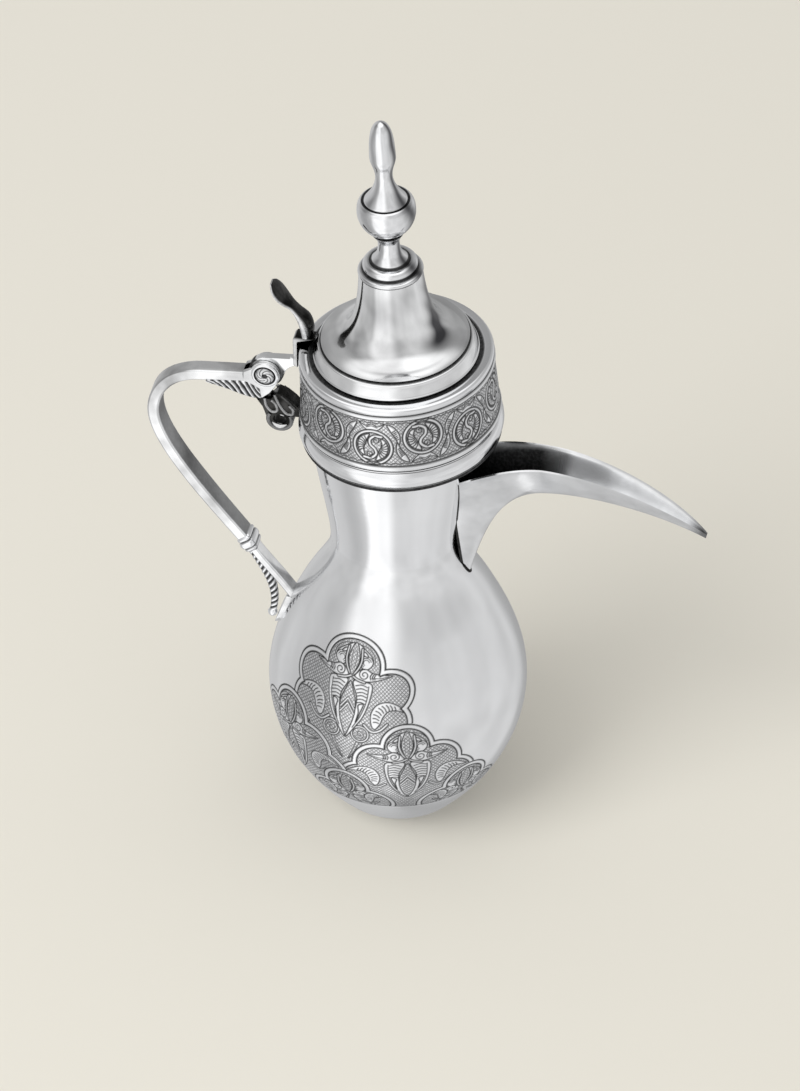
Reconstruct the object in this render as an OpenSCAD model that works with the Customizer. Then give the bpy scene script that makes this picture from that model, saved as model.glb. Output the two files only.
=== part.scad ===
// Arabic coffee pot (dallah) in polished silver, with a hinged lid.
// The origin is the centre of the foot's underside, +Z is up, the spout
// points along +X, the handle along -X, and the hinge pin lies along Y.

/* [Body] */
// Outer radius of the foot, where the belly starts
foot_r = 22.8; // [21:0.1:25]
// Height of the foot ring
foot_h = 1.6; // [1:0.1:3]
// Outer radius of the belly at its widest
belly_r = 46.4; // [42:0.1:50]
// Height of the widest place of the belly
belly_z = 52; // [46:0.5:58]
// Outer radius of the waist
waist_r = 22.9; // [21:0.1:25]
// Height of the waist, where belly and neck are joined
waist_z = 118; // [114:0.5:121]
// Outer radius of the neck at its top
neck_r = 29.4; // [28:0.1:31]
// Height of the top of the neck
neck_z = 167; // [165:0.5:169]
// Thickness of the silver sheet of the body
wall = 0.65; // [0.6:0.05:1]

/* [Collar] */
// Outer radius of the bulge of the skirt moulding
skirt_r = 36.2; // [35.5:0.1:37.5]
// Height of the lower lip of the skirt moulding
skirt_z = 165; // [164:0.5:167]
// Height where the engraved band starts
band_z = 174; // [173:0.5:176]
// Outer radius of the band at its bottom
band_r = 35.3; // [34.8:0.1:36]
// Outer radius of the band at its top
band_top_r = 34.0; // [33.5:0.1:34.5]
// Height of the plane that the lid rests on
seat_z = 200.5; // [199:0.5:202]
// Radius of the mouth
mouth_r = 27.6; // [27:0.1:28]
// Tilt of the collar and the lid towards the handle, in degrees
lean = 2.4; // [0:0.1:2.6]

/* [Spout] */
// Thickness of the spout's sheet
spout_wall = 0.9; // [0.7:0.05:1.2]
// Distance of the spout's tip from the axis
spout_reach = 112; // [106:0.5:118]
// Half width of the spout between its lips at the crest
spout_half_w = 7.5; // [6.5:0.1:9]

/* [Handle] */
// Thickness of the handle bar, seen from the side
bar_t = 4.2; // [3.6:0.1:5]
// Width of the handle bar across the pot
bar_w = 6.4; // [5.6:0.1:7]
// Distance of the handle's outermost stretch from the axis
grip_x = 86; // [82:0.5:92]

/* [Hinge] */
// Distance of the hinge pin from the axis
pin_x = 45.0; // [44.5:0.1:46]
// Height of the hinge pin
pin_z = 184.4; // [183.8:0.1:185]
// Radius of the hinge pin
pin_r = 1.5; // [1.2:0.05:1.8]
// Running clearance between the pin and the lid's knuckle
pin_gap = 0.06; // [0.02:0.01:0.1]
// Outer radius of the lid's knuckle
knuckle_r = 6.2; // [5.6:0.1:6.4]
// Width of the lid's knuckle
knuckle_w = 3.0; // [2.6:0.1:3.2]
// Gap between the knuckle and each cheek of the fork
side_gap = 0.2; // [0.1:0.05:0.3]

/* [Lid] */
// Outer radius of the lid's rim step
rim_r = 29.2; // [28.8:0.1:29.6]
// Outer radius of the bell at its foot
bell_r = 26.1; // [25.6:0.1:26.6]
// Height of the top of the rim step, where the bell starts
bell_z = 207; // [206:0.5:208]
// Outer radius of the bell at its top
bell_top_r = 11.2; // [10.6:0.1:11.8]
// Height of the top of the bell
bell_top_z = 235.6; // [234:0.2:237]
// Depth of the ring that reaches into the mouth
bezel_depth = 2.5; // [1.5:0.1:2.8]

/* [Finial] */
// Radius of the ball
ball_r = 10.3; // [9.5:0.1:11]
// Height of the ball's centre
ball_z = 262.2; // [261:0.2:263]
// Height of the tip of the bud
tip_z = 300; // [298:0.5:303]

/* [Hidden] */
$fn = 96;
steps = 14;
base_t = 0.9;
foot_w = 2.4;
shoulder = [34.9, 90];
ball_low = 9.2;
ball_high = 4.6;
cheek_w = (bar_w - knuckle_w) / 2 - side_gap;
cheek_r = 5.3;
cap_t = 1.3;
seat_gap = 0.1;
tongue_z = seat_z + 2;
tongue_low = seat_z - 0.4;
lean_z = 240;
flange_in = 4.4;
bezel_r = mouth_r - 2.4;
lever_w = 6;
lever_x = 33.2;
stud_r = 1.5;
silver = [0.86, 0.86, 0.87];
dark_silver = [0.35, 0.35, 0.36];

// One point of a cubic curve, and a run of points along it
function curve_at(p, t) =
    p[0] * pow(1 - t, 3) + p[1] * 3 * t * pow(1 - t, 2)
    + p[2] * 3 * t * t * (1 - t) + p[3] * pow(t, 3);
function curve(p, n = steps, from = 0) =
    [for (i = [from : n]) curve_at(p, i / n)];

// A line of points moved sideways, to its left when distance is positive
function direction(p, i) =
    let (a = p[max(i - 1, 0)], b = p[min(i + 1, len(p) - 1)])
    (b - a) / norm(b - a);
function beside(p, distance) =
    [for (i = [0 : len(p) - 1])
        let (d = direction(p, i)) p[i] + distance * [-d[1], d[0]]];
function reversed(p) = [for (i = [len(p) - 1 : -1 : 0]) p[i]];
function arc(x, z, r, from, to, n = 10) =
    [for (i = [0 : n])
        let (a = from + (to - from) * i / n) [x + r * cos(a), z + r * sin(a)]];

// Outline of the belly from the foot to the waist
belly_outer = concat(
    curve([[foot_r + 1.2, foot_h], [foot_r + 11, 13],
           [belly_r, 30], [belly_r, belly_z]]),
    curve([[belly_r, belly_z], [belly_r, belly_z + 12],
           shoulder + [6.8, -14], shoulder], steps, 1),
    curve([shoulder, shoulder + [-4.9, 10],
           [waist_r, waist_z - 11], [waist_r, waist_z]], steps, 1));
neck_outer = curve([[waist_r, waist_z], [waist_r + 0.1, waist_z + 11],
                    [neck_r - 1.4, neck_z - 19], [neck_r, neck_z]], 18);

// Collar and lid stand on an axis that crosses the pot's at lean_z
module leaning() {
    translate([0, 0, lean_z]) rotate([0, -lean, 0])
        translate([0, 0, -lean_z]) children();
}

module sheet_of(outline, thickness) {
    polygon(concat(outline, reversed(beside(outline, thickness))));
}

// Everything inside the outer surface of belly and neck
module body_core() {
    rotate_extrude()
        polygon(concat([[0, foot_h]], belly_outer,
                       [for (i = [1 : len(neck_outer) - 1]) neck_outer[i]],
                       [[0, neck_z]]));
}

module belly() {
    color(silver) rotate_extrude() sheet_of(belly_outer, wall);
}

// The window behind the spout: narrow at the bottom and wide at the top
module spout_window() {
    translate([waist_r - 12, 0, 0]) rotate([90, 0, 90])
        linear_extrude(24)
            polygon([[-2.2, 124], [2.2, 124], [3.6, 138], [7.2, 149.5],
                     [7.2, 151], [-7.2, 151], [-7.2, 149.5], [-3.6, 138]]);
}

module neck() {
    color(silver) difference() {
        rotate_extrude() sheet_of(neck_outer, wall);
        spout_window();
        leaning() translate([0, 0, skirt_z + 0.65])
            cylinder(h = 10, r = skirt_r);
    }
}

module foot_ring() {
    color(silver) rotate_extrude()
        polygon([[foot_r - foot_w, 0], [foot_r - 0.6, 0], [foot_r, 0.5],
                 [foot_r + 1.2, foot_h], [foot_r - foot_w, foot_h]]);
}

module base_plate() {
    color(silver) cylinder(h = base_t, r = foot_r - foot_w);
}

// Outline of the skirt moulding from its lower lip to the band
skirt_outside = concat(
    [[skirt_r - 1.2, skirt_z]],
    arc(skirt_r - 4.6, skirt_z + 4.6, 4.6, -30, 46),
    [[band_r - 0.2, band_z - 0.8], [band_r - 0.2, band_z]]);
module collar_skirt() {
    color(silver) leaning() rotate_extrude()
        polygon(concat([[neck_r - flange_in, skirt_z + 0.7],
                        [skirt_r - 2.2, skirt_z + 0.7]], skirt_outside,
                       [[band_r - wall - 0.3, band_z],
                        [band_r - wall - 0.3, band_z - 1.6],
                        [skirt_r - 1.5, skirt_z + 6],
                        [skirt_r - 1.4, skirt_z + 3.4],
                        [skirt_r - 2.4, skirt_z + 1.5],
                        [neck_r - flange_in, skirt_z + 1.5]]));
}

module collar_band() {
    color(silver) leaning() rotate_extrude()
        polygon([[band_r, band_z], [band_r + 0.25, band_z + 0.6],
                 [band_r, band_z + 1.2], [band_top_r, seat_z - 2.6],
                 [band_top_r - wall, seat_z - 2.6],
                 [band_r - wall, band_z + 1.2], [band_r - wall, band_z]]);
}

module collar_rim() {
    color(silver) leaning() rotate_extrude()
        polygon(concat([[band_top_r - wall, seat_z - 2.6],
                        [band_top_r, seat_z - 2.6]],
                       arc(band_top_r - 1.1, seat_z - 1.3, 1.3, -20, 80, 8),
                       [[30.6, seat_z], [mouth_r, seat_z],
                        [mouth_r, seat_z - 1.4],
                        [band_top_r - 2.6, seat_z - 1.4]]));
}

// The spout is an open trough between a keel and two lips.
// Each lip point is [distance, height, half width].
keel_root = [[25, 94], [31, 123], [38, 142.5], [54, 144.3]];
keel_beak = [[54, 144.3], [66, 146.3],
             [spout_reach - 20, 143.5], [spout_reach, 132.8]];
lip_root = [[22, 149.5, 10.5], [30, 155, 11.5],
            [42, 159.7, spout_half_w + 1.1], [54, 159.7, spout_half_w]];
lip_beak = [[54, 159.7, spout_half_w], [70, 159.7, 7.0],
            [spout_reach - 15, 149, 6.2], [spout_reach + 0.4, 134.4, 1.0]];
keel = concat(curve(keel_root, 10), curve(keel_beak, 12, 1));
lips = concat(curve(lip_root, 10), curve(lip_beak, 12, 1));
side_points = 6;

// Half width of the trough as a share of its width at the lip:
// a narrow foot that flares near the neck, and a round trough at the beak
function trough_width(share, roundness) =
    roundness * sqrt(share) + (1 - roundness) * pow(share, 2.4);
function trough_side(k, low, high, half_w, roundness, sign) =
    [for (i = [0 : side_points])
        let (share = i / side_points, p = low + (high - low) * share)
        [p[0], sign * half_w * trough_width(share, roundness), p[1]]];
function trough_ring(k) =
    let (low = keel[k], high = [lips[k][0], lips[k][1]],
         half_w = lips[k][2],
         roundness = min(0.35 + 0.045 * k, 0.85),
         up = (high - low) / norm(high - low),
         inner_low = low + up * spout_wall * 1.3,
         right = trough_side(k, low, high, half_w, roundness, 1),
         left = trough_side(k, low, high, half_w, roundness, -1),
         inner_right = trough_side(k, inner_low, high,
                                   half_w - spout_wall, roundness, 1),
         inner_left = trough_side(k, inner_low, high,
                                  half_w - spout_wall, roundness, -1))
    concat(reversed(left), [for (i = [1 : side_points]) right[i]],
           reversed(inner_right),
           [for (i = [1 : side_points]) inner_left[i]]);

module spout() {
    rings = [for (k = [0 : len(keel) - 1]) trough_ring(k)];
    ring_size = len(rings[0]);
    last = (len(rings) - 1) * ring_size;
    walls = [for (k = [0 : len(rings) - 2], i = [0 : ring_size - 1])
        let (a = k * ring_size + i,
             b = k * ring_size + (i + 1) % ring_size,
             c = a + ring_size, d = b + ring_size)
        each [[a, b, c], [b, d, c]]];
    root_end = [for (i = [0 : ring_size / 2 - 2])
        let (a = i, b = i + 1, c = ring_size - 1 - i, d = c - 1)
        each [[a, c, b], [b, c, d]]];
    tip_end = [for (f = root_end)
        [f[0] + last, f[2] + last, f[1] + last]];
    color(silver) difference() {
        polyhedron([for (r = rings) each r],
                   concat(walls, root_end, tip_end), convexity = 6);
        body_core();
    }
}

// The handle bar's centre line: level at the top, round at the back and
// slanting down to the belly
bar_line = concat(
    [[-(pin_x + 8), pin_z - 2.7]],
    curve([[-68, pin_z - 4.1], [-grip_x + 6, pin_z - 5],
           [-grip_x, 171.5], [-grip_x, 162.5]], 12),
    curve([[-grip_x, 162.5], [-grip_x, 150],
           [-72.8, 131.5], [-55.4, 108.2]], 12, 1));

module flat_piece(width, y = 0) {
    translate([0, y + width / 2, 0]) rotate([90, 0, 0])
        linear_extrude(width) children();
}

module handle_bar() {
    color(silver) flat_piece(bar_w)
        polygon(concat(beside(bar_line, bar_t / 2),
                       reversed(beside(bar_line, -bar_t / 2))));
}

// The swollen collar between the bar and the tail
knuckle_from = [-55.4, 108.2];
knuckle_to = [-51.6, 102.4];
module handle_knuckle() {
    along = knuckle_to - knuckle_from;
    angle = atan2(along[0], along[1]);
    color(silver) translate([knuckle_from[0], 0, knuckle_from[1]])
        rotate([0, angle, 0])
            hull() {
                cube([bar_t, bar_w, 0.01], center = true);
                translate([0, 0, norm(along) / 2])
                    cube([bar_t + 1.8, bar_w + 1.8, 2.6], center = true);
                translate([0, 0, norm(along)])
                    cube([3.6, bar_w - 0.2, 0.01], center = true);
            }
}

tail_line = curve([knuckle_to + [0.12, -0.2], [-47.9, 96.4], [-43.6, 92],
                   [-36.8, 81.6]], 10);
module handle_tail() {
    color(silver) flat_piece(bar_w - 0.8)
        difference() {
            polygon(concat(beside(tail_line, 1.6),
                           reversed(beside(tail_line, -1.2))));
            polygon([for (p = belly_outer) [-p[0], p[1]]]);
        }
}

// Engraved strip on the outer side of the tail, ending in a small ball
feather_line = curve([[-52.2, 101.2], [-47.6, 92.5], [-43.2, 84.5],
                      [-45.4, 74]], 12);
module tail_feather() {
    color(silver) flat_piece(bar_w - 2.4)
        difference() {
            polygon(concat(beside(feather_line, 1.6),
                           reversed(beside(feather_line, -1.3))));
            polygon(concat(beside(tail_line, 3),
                           reversed(beside(tail_line, -1.2))));
        }
}

module tail_ball() {
    color(silver) translate([-45.74, 0, 72.38]) sphere(r = 1.6);
}

// A leaf-shaped pad that lies on the belly under the tail
module handle_foot() {
    color(silver) intersection() {
        difference() {
            rotate_extrude()
                polygon(concat(
                    beside([for (p = belly_outer)
                                if (p[1] > 66 && p[1] < 86) p], -1.1),
                    [[0, 86], [0, 66]]));
            body_core();
        }
        translate([-60, 0, 75]) rotate([90, 0, 90])
            linear_extrude(30) scale([1, 1.9]) circle(r = 3.4);
    }
}

// Fork at the top of the handle, with a feathered wing on each side
module fork_outline() {
    difference() {
        union() {
            polygon([[-(pin_x + 20.5), pin_z - 6], [-(pin_x + 13), pin_z - 8.6],
                     [-(pin_x + 4), pin_z - 10.8], [-(pin_x - 1.5), pin_z - 11.4],
                     [-(pin_x - 4), pin_z - 8.2], [-(pin_x - 3), pin_z - 3],
                     [-pin_x, pin_z], [-(pin_x + 4), pin_z + 1.2],
                     [-(pin_x + 8), pin_z + 0.2], [-(pin_x + 8), pin_z - 5]]);
            translate([-pin_x, pin_z]) circle(r = cheek_r);
        }
        translate([-pin_x, pin_z]) circle(r = pin_r);
        polygon([[-(pin_x + 25), pin_z - 6.5], [-(pin_x + 7.8), pin_z - 4.9],
                 [-(pin_x + 7.8), pin_z + 3], [-(pin_x + 25), pin_z + 3]]);
    }
}

module fork_cheek(side) {
    color(silver) flat_piece(cheek_w, side * (bar_w - cheek_w) / 2)
        fork_outline();
}

// Block that ties the two cheeks together behind and under the knuckle
module fork_bridge() {
    color(dark_silver) flat_piece(bar_w - 2 * cheek_w)
        difference() {
            polygon([[-(pin_x + 7.8), pin_z - 4.95], [-(pin_x + 7.8), pin_z],
                     [-(pin_x + 4), pin_z - 8], [-(pin_x - 1.5), pin_z - 11.4],
                     [-(pin_x + 4), pin_z - 10.8], [-(pin_x + 13), pin_z - 8.6],
                     [-(pin_x + 13), pin_z - 5.4]]);
            translate([-pin_x, pin_z]) circle(r = knuckle_r + 0.6);
        }
}

scroll_x = 40.3;
scroll_z = 164.6;
scroll_r = 4.9;
// Scrolled bracket that carries the hinge on the skirt of the collar
module hinge_bracket() {
    outline = concat(
        [[-(pin_x + 4), pin_z - 10.8], [-(pin_x - 1.5), pin_z - 11.4],
         [-(pin_x - 4), pin_z - 8.2], [-38, 175], [-35.4, 172.8],
         [-33.4, 170.6], [-27, 170.2], [-27, 166.4], [-33.4, 166.6]],
        arc(-scroll_x, scroll_z, scroll_r, 25, -190, 16),
        [[-46.4, 169.5]]);
    color(dark_silver) difference() {
        flat_piece(bar_w - 1) difference() {
            polygon(outline);
            translate([-scroll_x, scroll_z]) circle(r = 2.4);
        }
        body_core();
        leaning() rotate_extrude() polygon(concat(
            [[0, skirt_z + 0.7], [skirt_r - 2.2, skirt_z + 0.7]],
            skirt_outside, [[0, band_z]]));
    }
}

module hinge_pin() {
    color(silver) translate([-pin_x, bar_w / 2, pin_z])
        rotate([90, 0, 0]) cylinder(h = bar_w, r = pin_r);
}

// Domed rosette that covers one end of the pin
module pin_rosette(side) {
    color(silver) translate([-pin_x, side * bar_w / 2, pin_z])
        rotate([-90 * side, 0, 0]) rotate_extrude()
            polygon([[0, 0], [cheek_r - 0.5, 0], [cheek_r - 0.5, 0.4],
                     [cheek_r - 1.0, 0.7], [cheek_r - 1.5, 0.5],
                     [2.6, cap_t - 0.1], [1.2, cap_t], [0.9, cap_t - 0.4],
                     [0, cap_t - 0.4]]);
}

// Lever that carries the lid: knuckle, bar, riser and a tongue on the lid
module lid_arm() {
    top = pin_z + knuckle_r + 0.8;
    color(silver) flat_piece(knuckle_w)
        difference() {
            union() {
                translate([-pin_x, pin_z]) circle(r = knuckle_r);
                polygon([[-pin_x, pin_z + knuckle_r], [-40, top - 0.6],
                         [-lever_x - 0.6, top + 0.4], [-lever_x - 0.6, top - 2.6],
                         [-36.6, top - 4.6], [-39.4, pin_z - 0.4],
                         [-40.4, pin_z - 0.6]]);
            }
            translate([-pin_x, pin_z]) circle(r = pin_r + pin_gap);
        }
    color(silver) difference() {
        flat_piece(lever_w)
            polygon([[-lever_x, top - 2.6], [-lever_x, tongue_low],
                     [-bell_r, tongue_low], [-bell_r, tongue_z],
                     [-lever_x - 0.8, tongue_z],
                     [-lever_x - 1.7, tongue_z - 1.4],
                     [-lever_x - 1.7, top - 1.8],
                     [-lever_x - 1, top - 2.6]]);
        leaning() rotate_extrude()
            polygon(concat([[0, seat_z]], rim_outside, [[0, bell_z]]));
    }
}

// Leaf that the thumb presses: [distance, height, half width, thickness]
leaf = [[-30.6, tongue_z, 2.9, 5.4], [-30.6, tongue_z + 0.9, 3.0, 5.6],
        [-30.7, 206.0, 3.6, 6.2], [-31.4, 209.2, 3.8, 5.6],
        [-33.4, 212.4, 3.0, 3.4], [-35.4, 215.0, 2.9, 2.4],
        [-37.7, 217.4, 4.2, 2.2], [-39.8, 219.9, 5.0, 2.0],
        [-41.5, 222.2, 4.3, 1.7], [-42.5, 223.9, 1.9, 1.2]];
leaf_sides = 10;
module thumbpiece() {
    line = [for (p = leaf) [p[0], p[1]]];
    rings = [for (k = [0 : len(leaf) - 1], a = [0 : leaf_sides - 1])
        let (d = direction(line, k), turn = 360 * a / leaf_sides,
             off = leaf[k][3] / 2 * sin(turn))
        [line[k][0] - d[1] * off, leaf[k][2] * cos(turn),
         line[k][1] + d[0] * off]];
    last = (len(leaf) - 1) * leaf_sides;
    sides = [for (k = [0 : len(leaf) - 2], i = [0 : leaf_sides - 1])
        let (a = k * leaf_sides + i,
             b = k * leaf_sides + (i + 1) % leaf_sides,
             c = a + leaf_sides, d = b + leaf_sides)
        each [[a, c, b], [b, c, d]]];
    low_end = [for (i = [1 : leaf_sides - 2]) [0, i, i + 1]];
    top_end = [for (i = [1 : leaf_sides - 2]) [last, last + i + 1, last + i]];
    color(dark_silver)
        polyhedron(rings, concat(sides, low_end, top_end));
}

// Outline of the lid's rim step, from its lower edge to the bell
rim_outside = [[rim_r - 0.3, seat_z + seat_gap], [rim_r, seat_z + 0.6],
               [rim_r - 0.5, seat_z + 1.8], [bell_r + 1.2, bell_z - 1.4],
               [bell_r + 0.3, bell_z - 0.5], [bell_r + 0.02, bell_z]];
module lid_rim() {
    under = bell_z - wall - 0.05;
    color(silver) leaning() rotate_extrude()
        polygon(concat([[rim_r - 1.6, seat_z + seat_gap]], rim_outside,
                       [[bell_r + 0.02, under], [bell_r - 1.4, under],
                        [bell_r - 1.2, under - 1],
                        [rim_r - 1.6, seat_z + 1.2]]));
}

module lid_bezel() {
    color(silver) leaning() rotate_extrude()
        polygon([[bezel_r - 0.8, seat_z - bezel_depth],
                 [bezel_r, seat_z - bezel_depth],
                 [bezel_r, seat_z + seat_gap],
                 [rim_r - 1.6, seat_z + seat_gap],
                 [rim_r - 1.6, seat_z + 0.8], [bezel_r - 0.8, seat_z + 0.8]]);
}

bell_line = curve([[bell_r, bell_z], [14.5, bell_z + 1.4],
                   [12.4, 220], [bell_top_r, bell_top_z]], 26);
module lid_bell() {
    color(silver) leaning() rotate_extrude() sheet_of(bell_line, wall);
}

// Stepped moulding that closes the top of the bell
module crown_ring() {
    color(silver) leaning() rotate_extrude()
        polygon(concat([[stud_r, bell_top_z], [bell_top_r, bell_top_z]],
                       arc(bell_top_r - 0.5, bell_top_z + 0.8, 0.8, -70, 90, 6),
                       [[10, bell_top_z + 1.8]],
                       arc(7.6, bell_top_z + 3.3, 2.0, -20, 90, 8),
                       [[7.0, bell_top_z + 5.2], [stud_r, bell_top_z + 5.2]]));
}

crown_z = bell_top_z + 5.2;
// Waisted stem between the crown ring and the ball
module finial_stem() {
    color(silver) leaning() rotate_extrude()
        polygon(concat([[stud_r, crown_z]],
                       curve([[7.0, crown_z], [4.6, crown_z + 2.5],
                              [3.7, crown_z + 4], [3.8, crown_z + 8]], 10),
                       [[4.6, crown_z + 9.6], [5.8, ball_z - ball_low],
                        [stud_r, ball_z - ball_low]]));
}

// Flattened ball, hollow like the one that it stands for
module finial_ball() {
    color(silver) leaning() rotate_extrude()
        difference() {
            intersection() {
                translate([0, ball_z]) circle(r = ball_r);
                translate([stud_r, ball_z - ball_low])
                    square([ball_r, ball_low + ball_high]);
            }
            translate([0, ball_z]) circle(r = ball_r - 1.2);
        }
}

bud_z = ball_z + ball_high;
// Bud on a thin neck at the very top
module finial_bud() {
    color(silver) leaning() rotate_extrude()
        polygon(concat([[0, bud_z], [stud_r, bud_z]],
                       curve([[8.0, bud_z], [5.4, bud_z + 2.6],
                              [2.6, bud_z + 7], [3.1, bud_z + 11.5]], 10),
                       curve([[3.1, bud_z + 11.5], [3.5, bud_z + 15],
                              [4.6, bud_z + 16], [4.6, bud_z + 18.5]], 6, 1),
                       curve([[4.6, bud_z + 18.5], [4.5, bud_z + 26],
                              [3.9, tip_z - 0.2], [0, tip_z]], 10, 1)));
}

module finial_stud() {
    color(silver) leaning() translate([0, 0, bell_top_z - 5])
        cylinder(h = bud_z - bell_top_z + 5, r = stud_r);
}

module finial_nut() {
    color(silver) leaning() translate([0, 0, bell_top_z - 3.2]) difference() {
        cylinder(h = 2.4, r = 3.6, $fn = 6);
        translate([0, 0, -1]) cylinder(h = 5, r = stud_r);
    }
}

module finial_washer() {
    color(silver) leaning() translate([0, 0, bell_top_z - 0.8]) difference() {
        cylinder(h = 0.8, r = 6.4);
        translate([0, 0, -1]) cylinder(h = 3, r = stud_r);
    }
}

belly();
neck();
foot_ring();
base_plate();
collar_skirt();
collar_band();
collar_rim();
spout();
handle_bar();
handle_knuckle();
handle_tail();
tail_feather();
tail_ball();
handle_foot();
fork_cheek(-1);  // fork_cheek_left
fork_cheek(1);  // fork_cheek_right
fork_bridge();
hinge_bracket();
hinge_pin();
pin_rosette(-1);  // pin_rosette_left
pin_rosette(1);  // pin_rosette_right
lid_arm();
thumbpiece();
lid_rim();
lid_bezel();
lid_bell();
crown_ring();
finial_stem();
finial_ball();
finial_bud();
finial_stud();
finial_nut();
finial_washer();
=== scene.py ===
"""Looks of the silver dallah coffee pot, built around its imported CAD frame.

All shapes are worked out in millimetres in the frame of the part and are
turned into metres when their mesh is made.
"""
import math

import bmesh
import bpy
import numpy as np
from mathutils import Matrix, Vector


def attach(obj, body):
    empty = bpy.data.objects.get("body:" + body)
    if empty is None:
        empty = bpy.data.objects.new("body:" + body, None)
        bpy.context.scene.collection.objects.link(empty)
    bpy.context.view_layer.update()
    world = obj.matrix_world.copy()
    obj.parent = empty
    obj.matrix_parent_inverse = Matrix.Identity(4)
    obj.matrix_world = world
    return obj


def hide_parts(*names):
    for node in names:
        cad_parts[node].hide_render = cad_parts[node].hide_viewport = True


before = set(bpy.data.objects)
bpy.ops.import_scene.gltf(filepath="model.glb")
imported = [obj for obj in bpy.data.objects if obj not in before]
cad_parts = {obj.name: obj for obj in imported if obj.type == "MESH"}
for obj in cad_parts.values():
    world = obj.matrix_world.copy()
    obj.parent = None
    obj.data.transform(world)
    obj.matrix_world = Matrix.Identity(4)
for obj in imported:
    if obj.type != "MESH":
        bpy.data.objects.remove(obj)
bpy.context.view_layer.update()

MM = 0.001
SCENE = bpy.context.scene

# ---------------------------------------------------------------- camera

CAMERA_AZ = math.radians(13.0)
CAMERA_EL = math.radians(40.3)
CAMERA_ROLL = math.radians(1.1)
CAMERA_DISTANCE = 3.0
LENS, SENSOR_HEIGHT = 280.8, 36
AIM_HEIGHT = 0.150
# the aim's shift in the picture, which places the pot as in the photo
AIM_RIGHT, AIM_DOWN = 0.00215, 0.0299


def make_camera():
    """The photo's viewpoint: in front, towards the spout, from above."""
    ca, sa = math.cos(CAMERA_AZ), math.sin(CAMERA_AZ)
    ce, se = math.cos(CAMERA_EL), math.sin(CAMERA_EL)
    back = Vector((sa * ce, -ca * ce, se))
    level = Vector((ca, sa, 0))
    rise = back.cross(level)
    cr, sr = math.cos(CAMERA_ROLL), math.sin(CAMERA_ROLL)
    right = level * cr - rise * sr
    up = level * sr + rise * cr
    aim = Vector((0, 0, AIM_HEIGHT)) + right * AIM_RIGHT - up * AIM_DOWN
    data = bpy.data.cameras.new("camera")
    data.sensor_fit = "VERTICAL"
    data.sensor_height = SENSOR_HEIGHT
    data.lens = LENS
    data.clip_end = 30
    camera = bpy.data.objects.new("camera", data)
    SCENE.collection.objects.link(camera)
    matrix = Matrix((right, up, back)).transposed().to_4x4()
    matrix.translation = aim + back * CAMERA_DISTANCE
    camera.matrix_world = matrix
    SCENE.camera = camera


make_camera()

# ------------------------------------------------------------- materials


def node_material(name, colour, roughness):
    """A metal, with its node tree and its shader."""
    material = bpy.data.materials.new(name)
    material.use_nodes = True
    tree = material.node_tree
    shader = tree.nodes["Principled BSDF"]
    shader.inputs["Metallic"].default_value = 1.0
    shader.inputs["Base Color"].default_value = (*colour, 1)
    shader.inputs["Roughness"].default_value = roughness
    return material, tree, shader


def noise(tree, scale, detail=4.0, roughness=0.55, stretch=(1, 1, 1)):
    """Noise on the object's own coordinates, in features per metre."""
    place = tree.nodes.new("ShaderNodeTexCoord")
    mapping = tree.nodes.new("ShaderNodeMapping")
    mapping.inputs["Scale"].default_value = stretch
    texture = tree.nodes.new("ShaderNodeTexNoise")
    texture.inputs["Scale"].default_value = scale
    texture.inputs["Detail"].default_value = detail
    texture.inputs["Roughness"].default_value = roughness
    tree.links.new(place.outputs["Object"], mapping.inputs["Vector"])
    tree.links.new(mapping.outputs["Vector"], texture.inputs["Vector"])
    return texture.outputs["Fac"]


def spread(tree, source, low, high, out_low, out_high):
    """Maps one range of values onto another."""
    node = tree.nodes.new("ShaderNodeMapRange")
    node.inputs["From Min"].default_value = low
    node.inputs["From Max"].default_value = high
    node.inputs["To Min"].default_value = out_low
    node.inputs["To Max"].default_value = out_high
    tree.links.new(source, node.inputs["Value"])
    return node.outputs["Result"]


def combine(tree, how, a, b):
    """A sum, product and so on of two numbers or outputs."""
    node = tree.nodes.new("ShaderNodeMath")
    node.operation = how
    for socket, value in zip(node.inputs, (a, b)):
        if isinstance(value, (int, float)):
            socket.default_value = value
        else:
            tree.links.new(value, socket)
    return node.outputs["Value"]


def mixed(tree, factor, a, b):
    """Colour between a and b, each a tuple or an output."""
    node = tree.nodes.new("ShaderNodeMix")
    node.data_type = "RGBA"
    tree.links.new(factor, node.inputs["Factor"])
    colours = [s for s in node.inputs if s.type == "RGBA"]
    for socket, value in zip(colours, (a, b)):
        if isinstance(value, tuple):
            socket.default_value = (*value, 1)
        else:
            tree.links.new(value, socket)
    return [s for s in node.outputs if s.type == "RGBA"][0]


def attribute(tree, name, output="Fac"):
    """A value that the mesh carries at its points."""
    node = tree.nodes.new("ShaderNodeAttribute")
    node.attribute_name = name
    return node.outputs[output]


def bumped(tree, shader, height, strength, distance):
    node = tree.nodes.new("ShaderNodeBump")
    node.inputs["Strength"].default_value = strength
    node.inputs["Distance"].default_value = distance
    tree.links.new(height, node.inputs["Height"])
    tree.links.new(node.outputs["Normal"], shader.inputs["Normal"])


# Radians per millimetre of the two crossed sets of hatching lines
HATCH_PITCHES = (4.3, 4.0)


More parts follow.
